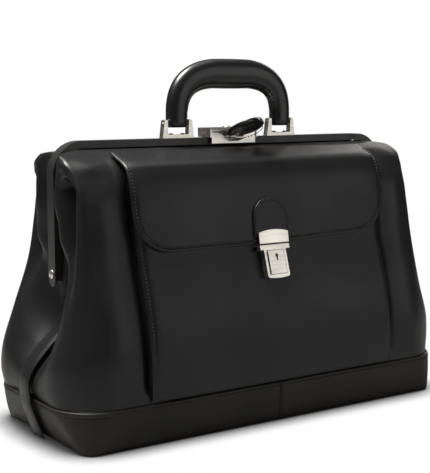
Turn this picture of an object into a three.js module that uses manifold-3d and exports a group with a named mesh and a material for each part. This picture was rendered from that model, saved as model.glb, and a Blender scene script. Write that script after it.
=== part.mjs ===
// Doctor bag: a soft leather body that hangs from a two-jaw steel frame and stands on a stiff base.
// Millimetres. Origin at the centre of the base on the floor: +X along the bag, +Z up, the pocket on -Y.
import * as THREE from 'three';
import { mergeVertices } from 'three/addons/utils/BufferGeometryUtils.js';
import Module from 'manifold-3d';

const wasm = await Module();
wasm.setup();

// Driving dimensions
const BASE_LENGTH = 440;
const BASE_DEPTH = 178;
const BAND_HEIGHT = 41;
const FRAME_LENGTH = 410;
const FRAME_TOP = 284;
const FRAME_DEPTH = 14;
const FRAME_BAR = 7;
const FRAME_CORNER = 32;
const PIN_HEIGHT = 157;
const LEATHER = 2.6;
const CLOTH_THICKNESS = 1.2;
const GAP = 0.3;
const HANDLE_SPAN = 130;
const HANDLE_TOP = 364;
const POCKET_WIDTH = 300;
const POCKET_TOP = 250;
const FLAP_WIDTH = 310;
const FLAP_EDGE = 178;
const FLAP_FOLD = 271;

// Base: the wall of the tray and the top of the board in it
const WALL = 3;
const BOARD_TOP = WALL + GAP + 3;

// Frame: the front jaw has a lip that covers the back jaw
const FRAME_END = FRAME_LENGTH / 2;
const LIP = 1.4;
const LIP_INSIDE = FRAME_END - LIP;
const BAR_INSIDE = FRAME_END - FRAME_BAR;
const BAR_UNDERSIDE = FRAME_TOP - FRAME_BAR;
const JAW_FACE = FRAME_DEPTH / 2;
const KNUCKLE_RADIUS = JAW_FACE;
const RIVET_RADIUS = 2;

// The line that the leather hangs from, just inside the frame
const HANG_END = BAR_INSIDE - 1.8;
const HANG_TOP = BAR_UNDERSIDE - 0.6;
const HANG_FOOT = PIN_HEIGHT - 7;
const HANG_CORNER = FRAME_CORNER - FRAME_BAR;
const HANG_DEPTH = 4;
const SEAM_GAP = 0.2;

// Pocket, flap and lock stand off the front of the body by these amounts
const POCKET_RISE = 10;
const POCKET_LIP = 3;
const POCKET_THICKNESS = 2;
const POCKET_FILL_HEIGHT = 120;
const FLAP_CLEAR = 0.8;
const FLAP_OVER_POCKET = 1.2;
const FLAP_THICKNESS = 2.8;
const TAB_THICKNESS = 2;
const TAB_HALF_WIDTH = 21;
const CASE_HEIGHT = 161;
const PLATE_HEIGHT = 184;

// Colours and finishes
const BLACK_LEATHER = { color: 0x1a1a1b, roughness: 0.5, metalness: 0 };
const BAND_LEATHER = { color: 0x1d1b1a, roughness: 0.55, metalness: 0 };
const NICKEL = { color: 0xd9d0c4, roughness: 0.28, metalness: 1 };
const FRAME_STEEL = { color: 0x2b2b2c, roughness: 0.4, metalness: 0.8 };
const CORE_STEEL = { color: 0x6c6c6c, roughness: 0.5, metalness: 1 };
const BOARD = { color: 0x4b4038, roughness: 0.9, metalness: 0 };
const CLOTH = { color: 0x2a2522, roughness: 0.95, metalness: 0 };

const smooth = THREE.MathUtils.smoothstep;
const lerp = THREE.MathUtils.lerp;

// ---------- solids ----------

/** Turns a geometry's faces outward when its signed volume is negative. */
function facingOut(geometry) {
  const place = geometry.attributes.position;
  const index = geometry.index.array;
  const [a, b, c] = [new THREE.Vector3(), new THREE.Vector3(), new THREE.Vector3()];
  let volume = 0;
  for (let i = 0; i < index.length; i += 3) {
    a.fromBufferAttribute(place, index[i]);
    b.fromBufferAttribute(place, index[i + 1]);
    c.fromBufferAttribute(place, index[i + 2]);
    volume += a.dot(b.cross(c));
  }
  if (volume < 0) index.reverse();
  return geometry;
}

/** An indexed geometry from points and triangles. */
function surface(points, triangles) {
  const geometry = new THREE.BufferGeometry();
  const places = points.flatMap((p) => [p.x, p.y, p.z]);
  geometry.setAttribute('position', new THREE.Float32BufferAttribute(places, 3));
  geometry.setIndex(triangles);
  return facingOut(geometry);
}

/** The two triangles of a quadrilateral. */
const quad = (a, b, c, d) => [a, b, c, a, c, d];

/** A sheet between two grids of points: face(u, v) is outside, back(u, v) is inside, u and v run 0..1. */
function sheet(face, back, us, vs) {
  const across = vs.length;
  const points = [face, back].flatMap((side) => us.flatMap((u) => vs.map((v) => side(u, v))));
  const far = us.length * across;
  const at = (i, j) => i * across + j;
  const triangles = [];
  for (let i = 0; i < us.length - 1; i += 1) {
    for (let j = 0; j < across - 1; j += 1) {
      const corner = [at(i, j), at(i + 1, j), at(i + 1, j + 1), at(i, j + 1)];
      triangles.push(...quad(...corner));
      triangles.push(...quad(...corner.map((k) => k + far).reverse()));
    }
  }
  const rim = [];
  for (let i = 0; i < us.length - 1; i += 1) rim.push(at(i, 0));
  for (let j = 0; j < across - 1; j += 1) rim.push(at(us.length - 1, j));
  for (let i = us.length - 1; i > 0; i -= 1) rim.push(at(i, across - 1));
  for (let j = across - 1; j > 0; j -= 1) rim.push(at(0, j));
  rim.forEach((k, n) => {
    const next = rim[(n + 1) % rim.length];
    triangles.push(...quad(next, k, k + far, next + far));
  });
  return surface(points, triangles);
}

/** A solid through a stack of closed rings with the same number of points, its two ends filled. */
function loft(rings) {
  const count = rings[0].length;
  const points = rings.flat();
  const triangles = [];
  for (let r = 0; r < rings.length - 1; r += 1) {
    for (let i = 0; i < count; i += 1) {
      const next = (i + 1) % count;
      const [low, high] = [r * count, (r + 1) * count];
      triangles.push(...quad(low + i, low + next, high + next, high + i));
    }
  }
  const fill = (ring, start, turned) => {
    const middle = ring.reduce((sum, p) => sum.add(p), new THREE.Vector3()).divideScalar(count);
    points.push(middle);
    const hub = points.length - 1;
    for (let i = 0; i < count; i += 1) {
      const pair = [start + i, start + ((i + 1) % count)];
      triangles.push(hub, ...(turned ? pair : pair.reverse()));
    }
  };
  fill(rings[0], 0, false);
  fill(rings.at(-1), (rings.length - 1) * count, true);
  return surface(points, triangles);
}

/** A manifold solid from a geometry. */
function solid(geometry) {
  const bare = geometry.clone();
  bare.deleteAttribute('normal');
  bare.deleteAttribute('uv');
  const merged = mergeVertices(bare, 1e-4);
  return new wasm.Manifold(new wasm.Mesh({
    numProp: 3,
    vertProperties: new Float32Array(merged.attributes.position.array),
    triVerts: new Uint32Array(merged.index.array),
  }));
}

/** The geometry of a manifold solid. */
function geometryOf(manifold) {
  const result = manifold.getMesh();
  const geometry = new THREE.BufferGeometry();
  geometry.setAttribute('position', new THREE.BufferAttribute(new Float32Array(result.vertProperties), 3));
  geometry.setIndex(Array.from(result.triVerts));
  return geometry;
}

/** A geometry with every cutter taken away. */
function cut(geometry, ...cutters) {
  return geometryOf(cutters.reduce((left, cutter) => left.subtract(solid(cutter)), solid(geometry)));
}

/** Geometries joined into one body. */
function join(...geometries) {
  return geometryOf(geometries.slice(1).reduce((all, next) => all.add(solid(next)), solid(geometries[0])));
}

/** A box between two values on each axis. */
function block(x0, x1, y0, y1, z0, z1) {
  const box = new THREE.BoxGeometry(x1 - x0, y1 - y0, z1 - z0);
  return box.translate((x0 + x1) / 2, (y0 + y1) / 2, (z0 + z1) / 2);
}

/** A round bar along X between two places. */
function barX(radius, x0, x1, y, z, sides = 16) {
  const bar = new THREE.CylinderGeometry(radius, radius, x1 - x0, sides).rotateZ(Math.PI / 2);
  return bar.translate((x0 + x1) / 2, y, z);
}

/** A shape drawn in X and Z, given a thickness from y0 to y1. */
function slab(shape, y0, y1, curveSegments = 8) {
  const plate = new THREE.ExtrudeGeometry(shape, { depth: y1 - y0, bevelEnabled: false, curveSegments });
  return plate.rotateX(Math.PI / 2).translate(0, y1, 0);
}

/** A turned piece: the profile is [radius, height] pairs from axis to axis. */
function turned(profile, sides = 16) {
  const points = profile.map(([r, h]) => new THREE.Vector2(r, h));
  return new THREE.LatheGeometry(points, sides).rotateX(Math.PI / 2);
}

/** A named sub-part with a material of its own. */
function part(name, geometry, finish) {
  const mesh = new THREE.Mesh(geometry, new THREE.MeshStandardMaterial(finish));
  mesh.name = name;
  return mesh;
}

/** Evenly spaced values from 0 to 1. */
const steps = (count) => Array.from({ length: count + 1 }, (_, i) => i / count);

// ---------- the leather body ----------

const STRAP_HALF_WIDTH = 9.5;

// Shares of the half outline: the end runs to END_SHARE, the corner to CORNER_SHARE, the front to 1.
// The leather is flat under the strap as far as SEAM_SHARE, and hangs from the frame's arm up to ARM_SHARE.
const SEAM_SHARE = 0.054;
const END_SHARE = 0.16;
const ARM_SHARE = 0.26;
const CORNER_SHARE = 0.38;

/** Half outline of the bag seen from above, from the middle of the left end to the middle of the front. */
function outline(row, s) {
  const { length, depth, corner, waist } = row;
  if (s >= CORNER_SHARE) {
    const along = (s - CORNER_SHARE) / (1 - CORNER_SHARE);
    return { x: lerp(corner - length, 0, along), y: -depth };
  }
  const round = Math.max(0, (s - END_SHARE) / (CORNER_SHARE - END_SHARE)) * Math.PI / 2;
  const straight = Math.min(1, s / END_SHARE) * (depth - corner);
  const y = -straight - corner * Math.sin(round);
  const hollow = (length - waist) * (1 - smooth(-y, STRAP_HALF_WIDTH + 2.5, 0.85 * depth));
  return { x: -length + corner * (1 - Math.cos(round)) + hollow, y };
}

/** The line inside the frame at share s: up the arm, round the corner and along the bar to the middle. */
function hangLine(s) {
  const arm = HANG_TOP - HANG_CORNER - HANG_FOOT;
  const y = -lerp(SEAM_GAP, HANG_DEPTH, Math.min(1, s / SEAM_SHARE));
  const climb = THREE.MathUtils.inverseLerp(SEAM_SHARE, ARM_SHARE, s);
  if (climb <= 1) return new THREE.Vector3(-HANG_END, y, HANG_FOOT + arm * Math.max(0, climb));
  if (s >= CORNER_SHARE) {
    const along = (s - CORNER_SHARE) / (1 - CORNER_SHARE);
    return new THREE.Vector3(lerp(HANG_CORNER - HANG_END, 0, along), y, HANG_TOP);
  }
  const turn = THREE.MathUtils.inverseLerp(ARM_SHARE, CORNER_SHARE, s) * Math.PI / 2;
  return new THREE.Vector3(
    -HANG_END + HANG_CORNER * (1 - Math.cos(turn)),
    y,
    HANG_TOP - HANG_CORNER * (1 - Math.sin(turn)),
  );
}

// Level curves of the body: height at the front, half length and depth, corner radius, half length at mid end
const BODY_ROWS = [
  { height: BAND_HEIGHT + GAP, length: 224, depth: 91, corner: 42, waist: 223 },
  { height: 88, length: 234, depth: 87, corner: 48, waist: 225 },
  { height: 130, length: 224, depth: 78, corner: 40, waist: 208 },
  { height: 176, length: 212, depth: 64, corner: 28, waist: 188 },
  { height: 215, length: 206, depth: 58, corner: 24, waist: 178 },
  { height: 245, length: 201, depth: 51, corner: 22, waist: 180 },
  { height: 265, length: 196, depth: 36, corner: 18, waist: 184 },
  { height: 273, length: 192, depth: 20, corner: 12, waist: 188 },
];

/** The curve up the leather at share s of the half outline. */
function riser(s) {
  const hang = hangLine(s);
  const bottom = BAND_HEIGHT + GAP;
  const points = BODY_ROWS.map((row) => {
    const { x, y } = outline(row, s);
    const z = bottom + (row.height - bottom) * (hang.z - bottom) / (HANG_TOP - bottom);
    return new THREE.Vector3(x, Math.min(y, -SEAM_GAP), z);
  });
  return new THREE.CatmullRomCurve3([...points, hang], false, 'centripetal');
}

/** Outer surface of the front leather: u runs from the left end seam round the front to the right, v up. */
function bodyFace(u, v) {
  const s = 1 - Math.abs(2 * u - 1);
  const point = riser(s).getPoint(v);
  if (u > 0.5) point.x *= -1;
  return point;
}

/** Outward unit normal of a surface face(u, v) by small differences that stay inside 0..1. */
function outward(face, u, v) {
  const d = 0.004;
  const alongU = face(Math.min(1, u + d), v).sub(face(Math.max(0, u - d), v));
  const alongV = face(u, Math.min(1, v + d)).sub(face(u, Math.max(0, v - d)));
  return alongU.cross(alongV).normalize();
}

/** A surface moved along its own normal by a distance, kept on its side of the end seams. */
function inset(face, distance) {
  return (u, v) => {
    const point = face(u, v).addScaledVector(outward(face, u, v), distance);
    point.y = Math.min(point.y, -SEAM_GAP);
    return point;
  };
}

/** Values of u for the body: close together round the corners, wider along the front. */
function bodyColumns(endCount, cornerCount, frontCount) {
  const half = [
    ...steps(endCount).map((t) => t * END_SHARE),
    ...steps(cornerCount).slice(1).map((t) => lerp(END_SHARE, CORNER_SHARE, t)),
    ...steps(frontCount).slice(1).map((t) => lerp(CORNER_SHARE, 1, t)),
  ].map((s) => s / 2);
  return [...half, ...half.slice(0, -1).reverse().map((u) => 1 - u)];
}

/** The same surface kept clear of the jaw that swings past the back of the bag, above the hinge. */
function narrowFace(u, v) {
  const point = bodyFace(u, v);
  if (point.z > PIN_HEIGHT) point.x = THREE.MathUtils.clamp(point.x, -HANG_END, HANG_END);
  return point;
}

/** The front leather, or the back leather as its mirror image. */
function bodyLeather(side) {
  const face = side === 'front' ? bodyFace : narrowFace;
  const leather = sheet(face, inset(face, -LEATHER), bodyColumns(3, 6, 4), steps(12));
  return side === 'front' ? leather : facingOut(leather.scale(1, -1, 1));
}

// Level curves of the lining, which hangs clear of the leather
const LINING_ROWS = [
  { height: BOARD_TOP + GAP, length: 208, depth: 78, corner: 26 },
  { height: 60, length: 211, depth: 84, corner: 36 },
  { height: 90, length: 196, depth: 82, corner: 36 },
  { height: 115, length: 172, depth: 76, corner: 34 },
  { height: 150, length: 166, depth: 62, corner: 26 },
  { height: 200, length: 168, depth: 43, corner: 20 },
  { height: 240, length: 172, depth: 32, corner: 18 },
];

/** The cloth lining: an open pouch inside the leather, standing on the base board. */
function lining() {
  const ring = ({ height, length, depth, corner }, thickness) => (
    roundedRing(length - thickness, depth - thickness, corner, height)
  );
  const outside = LINING_ROWS.map((row) => ring(row, 0));
  const inside = LINING_ROWS.map((row) => ring(row, CLOTH_THICKNESS)).reverse();
  inside.at(-1).forEach((point) => point.setZ(point.z + CLOTH_THICKNESS));
  return loft([...outside, ...inside]);
}

// ---------- the base ----------

/** A rounded rectangle as a ring of points at one height. */
function roundedRing(halfLength, halfDepth, corner, z) {
  const ring = [];
  for (let side = 0; side < 4; side += 1) {
    const sx = side === 0 || side === 3 ? 1 : -1;
    const sy = side < 2 ? 1 : -1;
    for (const t of steps(5)) {
      const angle = (side + t) * Math.PI / 2;
      const x = sx * (halfLength - corner) + corner * Math.cos(angle);
      const y = sy * (halfDepth - corner) + corner * Math.sin(angle);
      ring.push(new THREE.Vector3(x, y, z));
    }
  }
  return ring;
}

/** The leather tray of the base: its wall is the band that shows round the foot of the bag. */
function baseBand() {
  const [a, b] = [BASE_LENGTH / 2, BASE_DEPTH / 2];
  const ring = (grow, corner, z) => roundedRing(a + grow, b + grow, corner, z);
  return loft([
    ring(-3, 27, 0),
    ring(0, 30, 3),
    ring(BAND_FLARE, 42, BAND_HEIGHT),
    ring(BAND_FLARE - WALL, 39, BAND_HEIGHT),
    ring(-WALL, 27, WALL),
  ]);
}

/** The stiff board on the floor of the tray. */
function baseBoard() {
  const [a, b] = [BASE_LENGTH / 2 - WALL - 1, BASE_DEPTH / 2 - WALL - 1];
  return loft([WALL + GAP, BOARD_TOP].map((z) => roundedRing(a, b, 28, z)));
}

// The strap: how far it stands off, its share that lies on the band, and the share of the riser it covers
const STRAP_CLEAR = 1.4;
const STRAP_THICKNESS = 2;
const STRAP_ON_BAND = 0.3;
const STRAP_REACH = 0.66;
const BAND_FLARE = 4;

/** Middle line of an end strap, from the foot of the band up the seam. */
function strapRoute(t) {
  if (t >= STRAP_ON_BAND) {
    return riser(0).getPoint(STRAP_REACH * (t - STRAP_ON_BAND) / (1 - STRAP_ON_BAND));
  }
  const up = t / STRAP_ON_BAND;
  const x = -BASE_LENGTH / 2 - (BAND_FLARE + 0.4) * up;
  return new THREE.Vector3(x, 0, lerp(1, BAND_HEIGHT, up));
}

/** Leather strap up the middle of an end: over the base, the seam and into the hollow. */
function endStrap(side) {
  const step = 0.01;
  const tangent = (t) => (
    strapRoute(Math.min(1, t + step)).sub(strapRoute(Math.max(0, t - step))).normalize()
  );
  const layer = (distance) => (u, t) => {
    const along = tangent(t);
    const point = strapRoute(t).add(new THREE.Vector3(-along.z, 0, along.x).multiplyScalar(distance));
    point.y = lerp(-STRAP_HALF_WIDTH, STRAP_HALF_WIDTH, u);
    if (side === 'right') point.x *= -1;
    return point;
  };
  return sheet(layer(STRAP_CLEAR + STRAP_THICKNESS), layer(STRAP_CLEAR), steps(2), steps(16));
}

// ---------- the front pocket ----------

const frontRiser = riser(1);

/** A point that stands off the front of the body at distance x from the middle and a given height. */
function onFront(x, height, offset) {
  let [low, high] = [0, 1];
  for (let i = 0; i < 24; i += 1) {
    const middle = (low + high) / 2;
    if (frontRiser.getPoint(middle).z < height) low = middle;
    else high = middle;
  }
  const point = frontRiser.getPoint(low);
  const rise = frontRiser.getPoint(Math.min(1, low + 0.01)).sub(frontRiser.getPoint(Math.max(0, low - 0.01)));
  const normal = new THREE.Vector3(0, -rise.z, rise.y).normalize();
  return point.addScaledVector(normal, offset).setX(x);
}

/** How far the pocket's face stands off the body. */
function pocketOffset(x, height) {
  const across = 1 - Math.pow(Math.abs(2 * x) / POCKET_WIDTH, 14);
  const up = smooth(height, BAND_HEIGHT - 10, POCKET_FILL_HEIGHT);
  return POCKET_LIP + (POCKET_RISE - POCKET_LIP) * across * up;
}

/** Positions across the front, closer together towards both edges. */
const acrossFront = steps(12).map((t) => (1 + Math.sin((t - 0.5) * Math.PI)) / 2);

/** The pocket: a leather panel that stands off the body and is open along its top. */
function pocketPanel() {
  const place = (u, v, back) => {
    const x = lerp(-POCKET_WIDTH / 2, POCKET_WIDTH / 2, u);
    const height = lerp(BAND_HEIGHT + 2.5, POCKET_TOP, v);
    const offset = pocketOffset(x, height);
    return onFront(x, height, back ? Math.max(1.5, offset - POCKET_THICKNESS) : offset);
  };
  return sheet((u, v) => place(u, v, false), (u, v) => place(u, v, true), acrossFront, steps(8));
}

/** How far the underside of the flap stands off the body. */
function flapOffset(x, height) {
  const across = 1 - Math.pow(Math.abs(2 * x) / (FLAP_WIDTH + 12), 14);
  const down = 1 - smooth(height, POCKET_TOP + 2, FLAP_FOLD);
  return FLAP_CLEAR + (POCKET_RISE - 0.5) * across * down + FLAP_OVER_POCKET * down;
}

const FLAP_CORNER = 38;

/** Height and half width of the flap at v, from its rounded lower corners to the fold. */
function flapEdge(v) {
  const bend = 0.35;
  if (v >= bend) return [lerp(FLAP_EDGE + FLAP_CORNER, FLAP_FOLD, (v - bend) / (1 - bend)), FLAP_WIDTH / 2];
  const angle = v / bend * Math.PI / 2;
  return [
    FLAP_EDGE + FLAP_CORNER * (1 - Math.cos(angle)),
    FLAP_WIDTH / 2 - FLAP_CORNER * (1 - Math.sin(angle)),
  ];
}

/** The flap that folds down over the pocket. */
function pocketFlap() {
  const place = (u, v, lift) => {
    const [height, halfWidth] = flapEdge(v);
    const x = lerp(-halfWidth, halfWidth, u);
    return onFront(x, height, flapOffset(x, height) + lift);
  };
  return sheet((u, v) => place(u, v, FLAP_THICKNESS), (u, v) => place(u, v, 0), acrossFront, steps(9));
}

/** The round-topped leather tab on the flap that carries the upper plate of the lock. */
function lockTab() {
  const foot = FLAP_EDGE + 7;
  const shoulder = FLAP_EDGE + 25;
  const bend = 0.4;
  const place = (u, v, lift) => {
    const angle = Math.max(0, (v - bend) / (1 - bend)) * Math.PI / 2 * 0.97;
    const straight = lerp(foot, shoulder, v / bend);
    const height = v < bend ? straight : shoulder + TAB_HALF_WIDTH * Math.sin(angle);
    const x = lerp(-1, 1, u) * TAB_HALF_WIDTH * Math.cos(angle);
    return onFront(x, height, flapOffset(0, height) + FLAP_THICKNESS + GAP + lift);
  };
  return sheet((u, v) => place(u, v, TAB_THICKNESS), (u, v) => place(u, v, 0), steps(6), steps(9));
}

// ---------- the tuck lock, in its own frame: X across, Z up the slope, -Y away from the pocket ----------

const CASE_BACK = -(POCKET_RISE + 1);
const CASE_FRONT = CASE_BACK - 7;
const PLATE_BACK = -(POCKET_RISE + 1.5 + FLAP_THICKNESS + GAP + TAB_THICKNESS + 0.5);
const RAIL_TOP = 13.6;
const RAIL_FOOT = 8.9;
const PLATE_FOOT = -6;
const PLATE_HALF = 18;
const CASE_HALF = 13.5;
const CASE_FOOT = -19.3;
const RECESS_HALF = 10.9;
const RECESS_FOOT = -16.4;
const PRESS_LEFT = -9;
const PRESS_RIGHT = 10.4;
const KEY_X = 1;
const KEY_HEIGHT = 1.5;

/** The lock's upper plate, with an arched top. */
function upperPlate() {
  const shoulder = PLATE_FOOT + 11;
  const shape = new THREE.Shape();
  shape.moveTo(-PLATE_HALF, PLATE_FOOT);
  shape.lineTo(PLATE_HALF, PLATE_FOOT);
  shape.lineTo(PLATE_HALF, shoulder);
  shape.quadraticCurveTo(0, shoulder + 5, -PLATE_HALF, shoulder);
  return slab(shape, PLATE_BACK - 2, PLATE_BACK, 10);
}

/** The tongue at the foot of the upper plate, which points down at the slot in the case. */
function lockTongue() {
  return block(-9, 9, PLATE_BACK + GAP, PLATE_BACK + GAP + 1.6, PLATE_FOOT, PLATE_FOOT + 3);
}

/** The case on the pocket: a wide rail on top, and a recess for the press plate below it. */
function lockCase() {
  const turn = CASE_HALF - 2;
  const knee = CASE_FOOT + 2.3;
  const shape = new THREE.Shape();
  shape.moveTo(-CASE_HALF, RAIL_FOOT + 0.5);
  shape.lineTo(-CASE_HALF, knee);
  shape.quadraticCurveTo(-CASE_HALF + 0.2, CASE_FOOT + 0.3, -turn, CASE_FOOT);
  shape.quadraticCurveTo(0, CASE_FOOT - 1.7, turn, CASE_FOOT);
  shape.quadraticCurveTo(CASE_HALF - 0.2, CASE_FOOT + 0.3, CASE_HALF, knee);
  shape.lineTo(CASE_HALF, RAIL_FOOT + 0.5);
  const body = slab(shape, CASE_FRONT, CASE_BACK, 6);
  const rail = block(-PLATE_HALF, PLATE_HALF, CASE_FRONT - 0.8, CASE_BACK, RAIL_FOOT, RAIL_TOP);
  const recessTop = RAIL_FOOT - 0.6;
  const recess = block(-RECESS_HALF, RECESS_HALF, CASE_FRONT - 2, CASE_BACK - 1.2, RECESS_FOOT, recessTop);
  return cut(join(body, rail), recess);
}

/** The press plate that frees the tongue, with a keyhole through it. */
function pressPlate() {
  const [front, rear] = [CASE_FRONT - 0.2, CASE_FRONT + 1.4];
  const plate = block(PRESS_LEFT, PRESS_RIGHT, front, rear, RECESS_FOOT + 0.5, RAIL_FOOT - 1.1);
  const bow = new THREE.CylinderGeometry(2, 2, 6, 14).translate(KEY_X, CASE_FRONT, KEY_HEIGHT + 1.2);
  const [near, far] = [CASE_FRONT - 3, CASE_FRONT + 3];
  const slot = block(KEY_X - 0.9, KEY_X + 0.9, near, far, KEY_HEIGHT - 4, KEY_HEIGHT + 1.4);
  return cut(plate, join(bow, slot));
}

/** The key plug that turns behind the keyhole. */
function keyPlug() {
  const plug = new THREE.CylinderGeometry(3.6, 3.6, 1.6, 20).translate(KEY_X, CASE_FRONT + 2.5, KEY_HEIGHT);
  const [near, far] = [CASE_FRONT + 1, CASE_FRONT + 2.7];
  return cut(plug, block(KEY_X - 0.6, KEY_X + 0.6, near, far, KEY_HEIGHT - 2, KEY_HEIGHT + 2));
}

/** The plate inside the pocket that the case is clenched to. */
function lockBackPlate() {
  const inside = -(POCKET_RISE - 2.4 - GAP - 0.5);
  return block(-12, 12, inside, inside + 1.2, -15, 8);
}

/** A group that lies on the front of the body at a height and leans with it. */
function leaning(height, ...pieces) {
  const group = new THREE.Group();
  const foot = onFront(0, height - 8, 0);
  const head = onFront(0, height + 8, 0);
  group.position.copy(foot.clone().add(head).multiplyScalar(0.5));
  group.rotation.x = -Math.atan2(head.y - foot.y, head.z - foot.z);
  return group.add(...pieces);
}

// ---------- the frame ----------

/** A U of the frame in X and Z: open at the foot, between an outside and an inside half width. */
function uShape(outside, inside, foot) {
  const thickness = outside - inside;
  const rise = FRAME_TOP - (FRAME_END - outside);
  const outer = FRAME_CORNER - (FRAME_END - outside);
  const inner = outer - thickness;
  const shape = new THREE.Shape();
  shape.moveTo(-outside, foot);
  shape.lineTo(-inside, foot);
  shape.lineTo(-inside, rise - outer);
  shape.absarc(-inside + inner, rise - outer, inner, Math.PI, Math.PI / 2, true);
  shape.lineTo(inside - inner, rise - thickness);
  shape.absarc(inside - inner, rise - outer, inner, Math.PI / 2, 0, true);
  shape.lineTo(inside, foot);
  shape.lineTo(outside, foot);
  shape.lineTo(outside, rise - outer);
  shape.absarc(outside - outer, rise - outer, outer, 0, Math.PI / 2, false);
  shape.lineTo(outer - outside, rise);
  shape.absarc(outer - outside, rise - outer, outer, Math.PI / 2, Math.PI, false);
  return shape;
}

/** The front jaw: a square bar with a thin lip that reaches back over the other jaw. */
function frontJaw() {
  const bar = slab(uShape(FRAME_END, BAR_INSIDE, PIN_HEIGHT), -JAW_FACE, -GAP);
  const lip = slab(uShape(FRAME_END, LIP_INSIDE, PIN_HEIGHT), -JAW_FACE, JAW_FACE);
  const tabs = [-1, 1].flatMap((side) => {
    const [x0, x1] = [side * LIP_INSIDE, side * FRAME_END].sort((a, b) => a - b);
    return [
      barX(KNUCKLE_RADIUS, x0, x1, 0, PIN_HEIGHT - 5, 28),
      block(x0, x1, -JAW_FACE, JAW_FACE, PIN_HEIGHT - 5, PIN_HEIGHT + 1),
    ];
  });
  const reach = LIP_INSIDE - 0.1;
  const knuckleRoom = barX(KNUCKLE_RADIUS + 0.6, -reach, reach, 0, PIN_HEIGHT, 28);
  const pinHole = barX(RIVET_RADIUS + GAP, -FRAME_END - 1, FRAME_END + 1, 0, PIN_HEIGHT);
  const rivetHoles = rivetPlaces().map(([x]) => rivetHole(x));
  return cut(join(bar, lip, ...tabs), knuckleRoom, pinHole, ...rivetHoles);
}

/** The back jaw: a square bar under the lip, with a round knuckle at each foot. */
function backJaw() {
  const outside = LIP_INSIDE - 0.4;
  const bar = slab(uShape(outside, BAR_INSIDE, PIN_HEIGHT), GAP, JAW_FACE);
  const knuckles = [-1, 1].map((side) => {
    const [x0, x1] = [side * BAR_INSIDE, side * outside].sort((a, b) => a - b);
    return barX(KNUCKLE_RADIUS, x0, x1, 0, PIN_HEIGHT, 28);
  });
  return cut(join(bar, ...knuckles), barX(RIVET_RADIUS + GAP, -FRAME_END, FRAME_END, 0, PIN_HEIGHT));
}

/** The hinge rivet of one end: domed outside, clenched inside. */
function hingeRivet(side) {
  const outside = FRAME_END + GAP;
  const inside = BAR_INSIDE - GAP;
  const clench = [[0, inside - 0.8], [3.2, inside - 0.8], [3.2, inside]];
  const shank = [[RIVET_RADIUS, inside], [RIVET_RADIUS, outside]];
  const dome = [[4.6, outside], [4.4, outside + 0.8], [3, outside + 1.7], [0, outside + 2.1]];
  const rivet = turned([...clench, ...shank, ...dome], 14).rotateY(Math.PI / 2);
  if (side === 'left') rivet.rotateZ(Math.PI);
  return rivet.translate(0, 0, PIN_HEIGHT);
}

// ---------- the handle and its brackets ----------

const BRACKET_DEPTH = 7;
const BRACKET_Y = -JAW_FACE / 2;
const BRACKET_FOOT = FRAME_TOP + GAP;
const BRACKET_HEIGHT = 18.6;
const HANDLE_PIN_HEIGHT = FRAME_TOP + 14.5;
const HANDLE_PIN_RADIUS = 1.6;
const GRIP_FOOT = FRAME_TOP + 11;
const GRIP_DEPTH = 19;
const GRIP_END_WIDTH = 22;
const GRIP_MIDDLE_HEIGHT = 28;
const BRACKET_PLATE = 3.5;
const BRACKET_RIVET_X = 7;
const LATCH_RIVET_X = 20;
const SMALL_RIVET_RADIUS = 1.5;

/** Where the small rivets go through the frame: [x, top of what they hold]. */
function rivetPlaces() {
  const held = [-1, 1].flatMap((side) => [-1, 1].map((end) => {
    const x = side * HANDLE_SPAN / 2 + end * BRACKET_RIVET_X;
    return [x, BRACKET_FOOT + BRACKET_PLATE];
  }));
  return [...held, [-LATCH_RIVET_X, LATCH_TOP], [LATCH_RIVET_X, LATCH_TOP]];
}

/** The hole for a small rivet at x. */
function rivetHole(x) {
  const height = FRAME_BAR + BRACKET_HEIGHT;
  const hole = new THREE.CylinderGeometry(SMALL_RIVET_RADIUS + GAP, SMALL_RIVET_RADIUS + GAP, height, 14);
  return hole.rotateX(Math.PI / 2).translate(x, BRACKET_Y, BAR_UNDERSIDE + height / 2 - 1);
}

/** A small rivet through the frame at x, its head on top of what it holds. */
function smallRivet(x, top) {
  const foot = BAR_UNDERSIDE + GAP;
  const seat = top + GAP;
  const shank = [[0, foot], [SMALL_RIVET_RADIUS, foot], [SMALL_RIVET_RADIUS, seat]];
  const head = [[2.6, seat], [2, seat + 0.9], [0, seat + 1.2]];
  return turned([...shank, ...head], 10).translate(x, BRACKET_Y, 0);
}

/** A nickel clevis on the frame: two flared uprights on a foot. */
function bracket(side) {
  const shape = new THREE.Shape();
  const top = BRACKET_FOOT + BRACKET_HEIGHT;
  shape.moveTo(-18.6, BRACKET_FOOT);
  shape.lineTo(18.6, BRACKET_FOOT);
  shape.lineTo(18.2, BRACKET_FOOT + 3);
  shape.lineTo(16.4, top - 1.5);
  shape.quadraticCurveTo(16.1, top, 14.6, top);
  shape.quadraticCurveTo(12.9, top, 12.6, top - 1.5);
  shape.lineTo(12.2, BRACKET_FOOT + BRACKET_PLATE);
  shape.lineTo(-12.2, BRACKET_FOOT + BRACKET_PLATE);
  shape.lineTo(-12.6, top - 1.5);
  shape.quadraticCurveTo(-12.9, top, -14.6, top);
  shape.quadraticCurveTo(-16.1, top, -16.4, top - 1.5);
  shape.lineTo(-18.2, BRACKET_FOOT + 3);
  const middle = side * HANDLE_SPAN / 2;
  const reach = BRACKET_DEPTH / 2;
  const clevis = slab(shape, BRACKET_Y - reach, BRACKET_Y + reach, 3).translate(middle, 0, 0);
  const pinHole = barX(HANDLE_PIN_RADIUS + GAP, middle - 20, middle + 20, BRACKET_Y, HANDLE_PIN_HEIGHT, 14);
  const rivetHoles = [-1, 1].map((end) => rivetHole(middle + end * BRACKET_RIVET_X));
  return cut(clevis, pinHole, ...rivetHoles);
}

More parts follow.
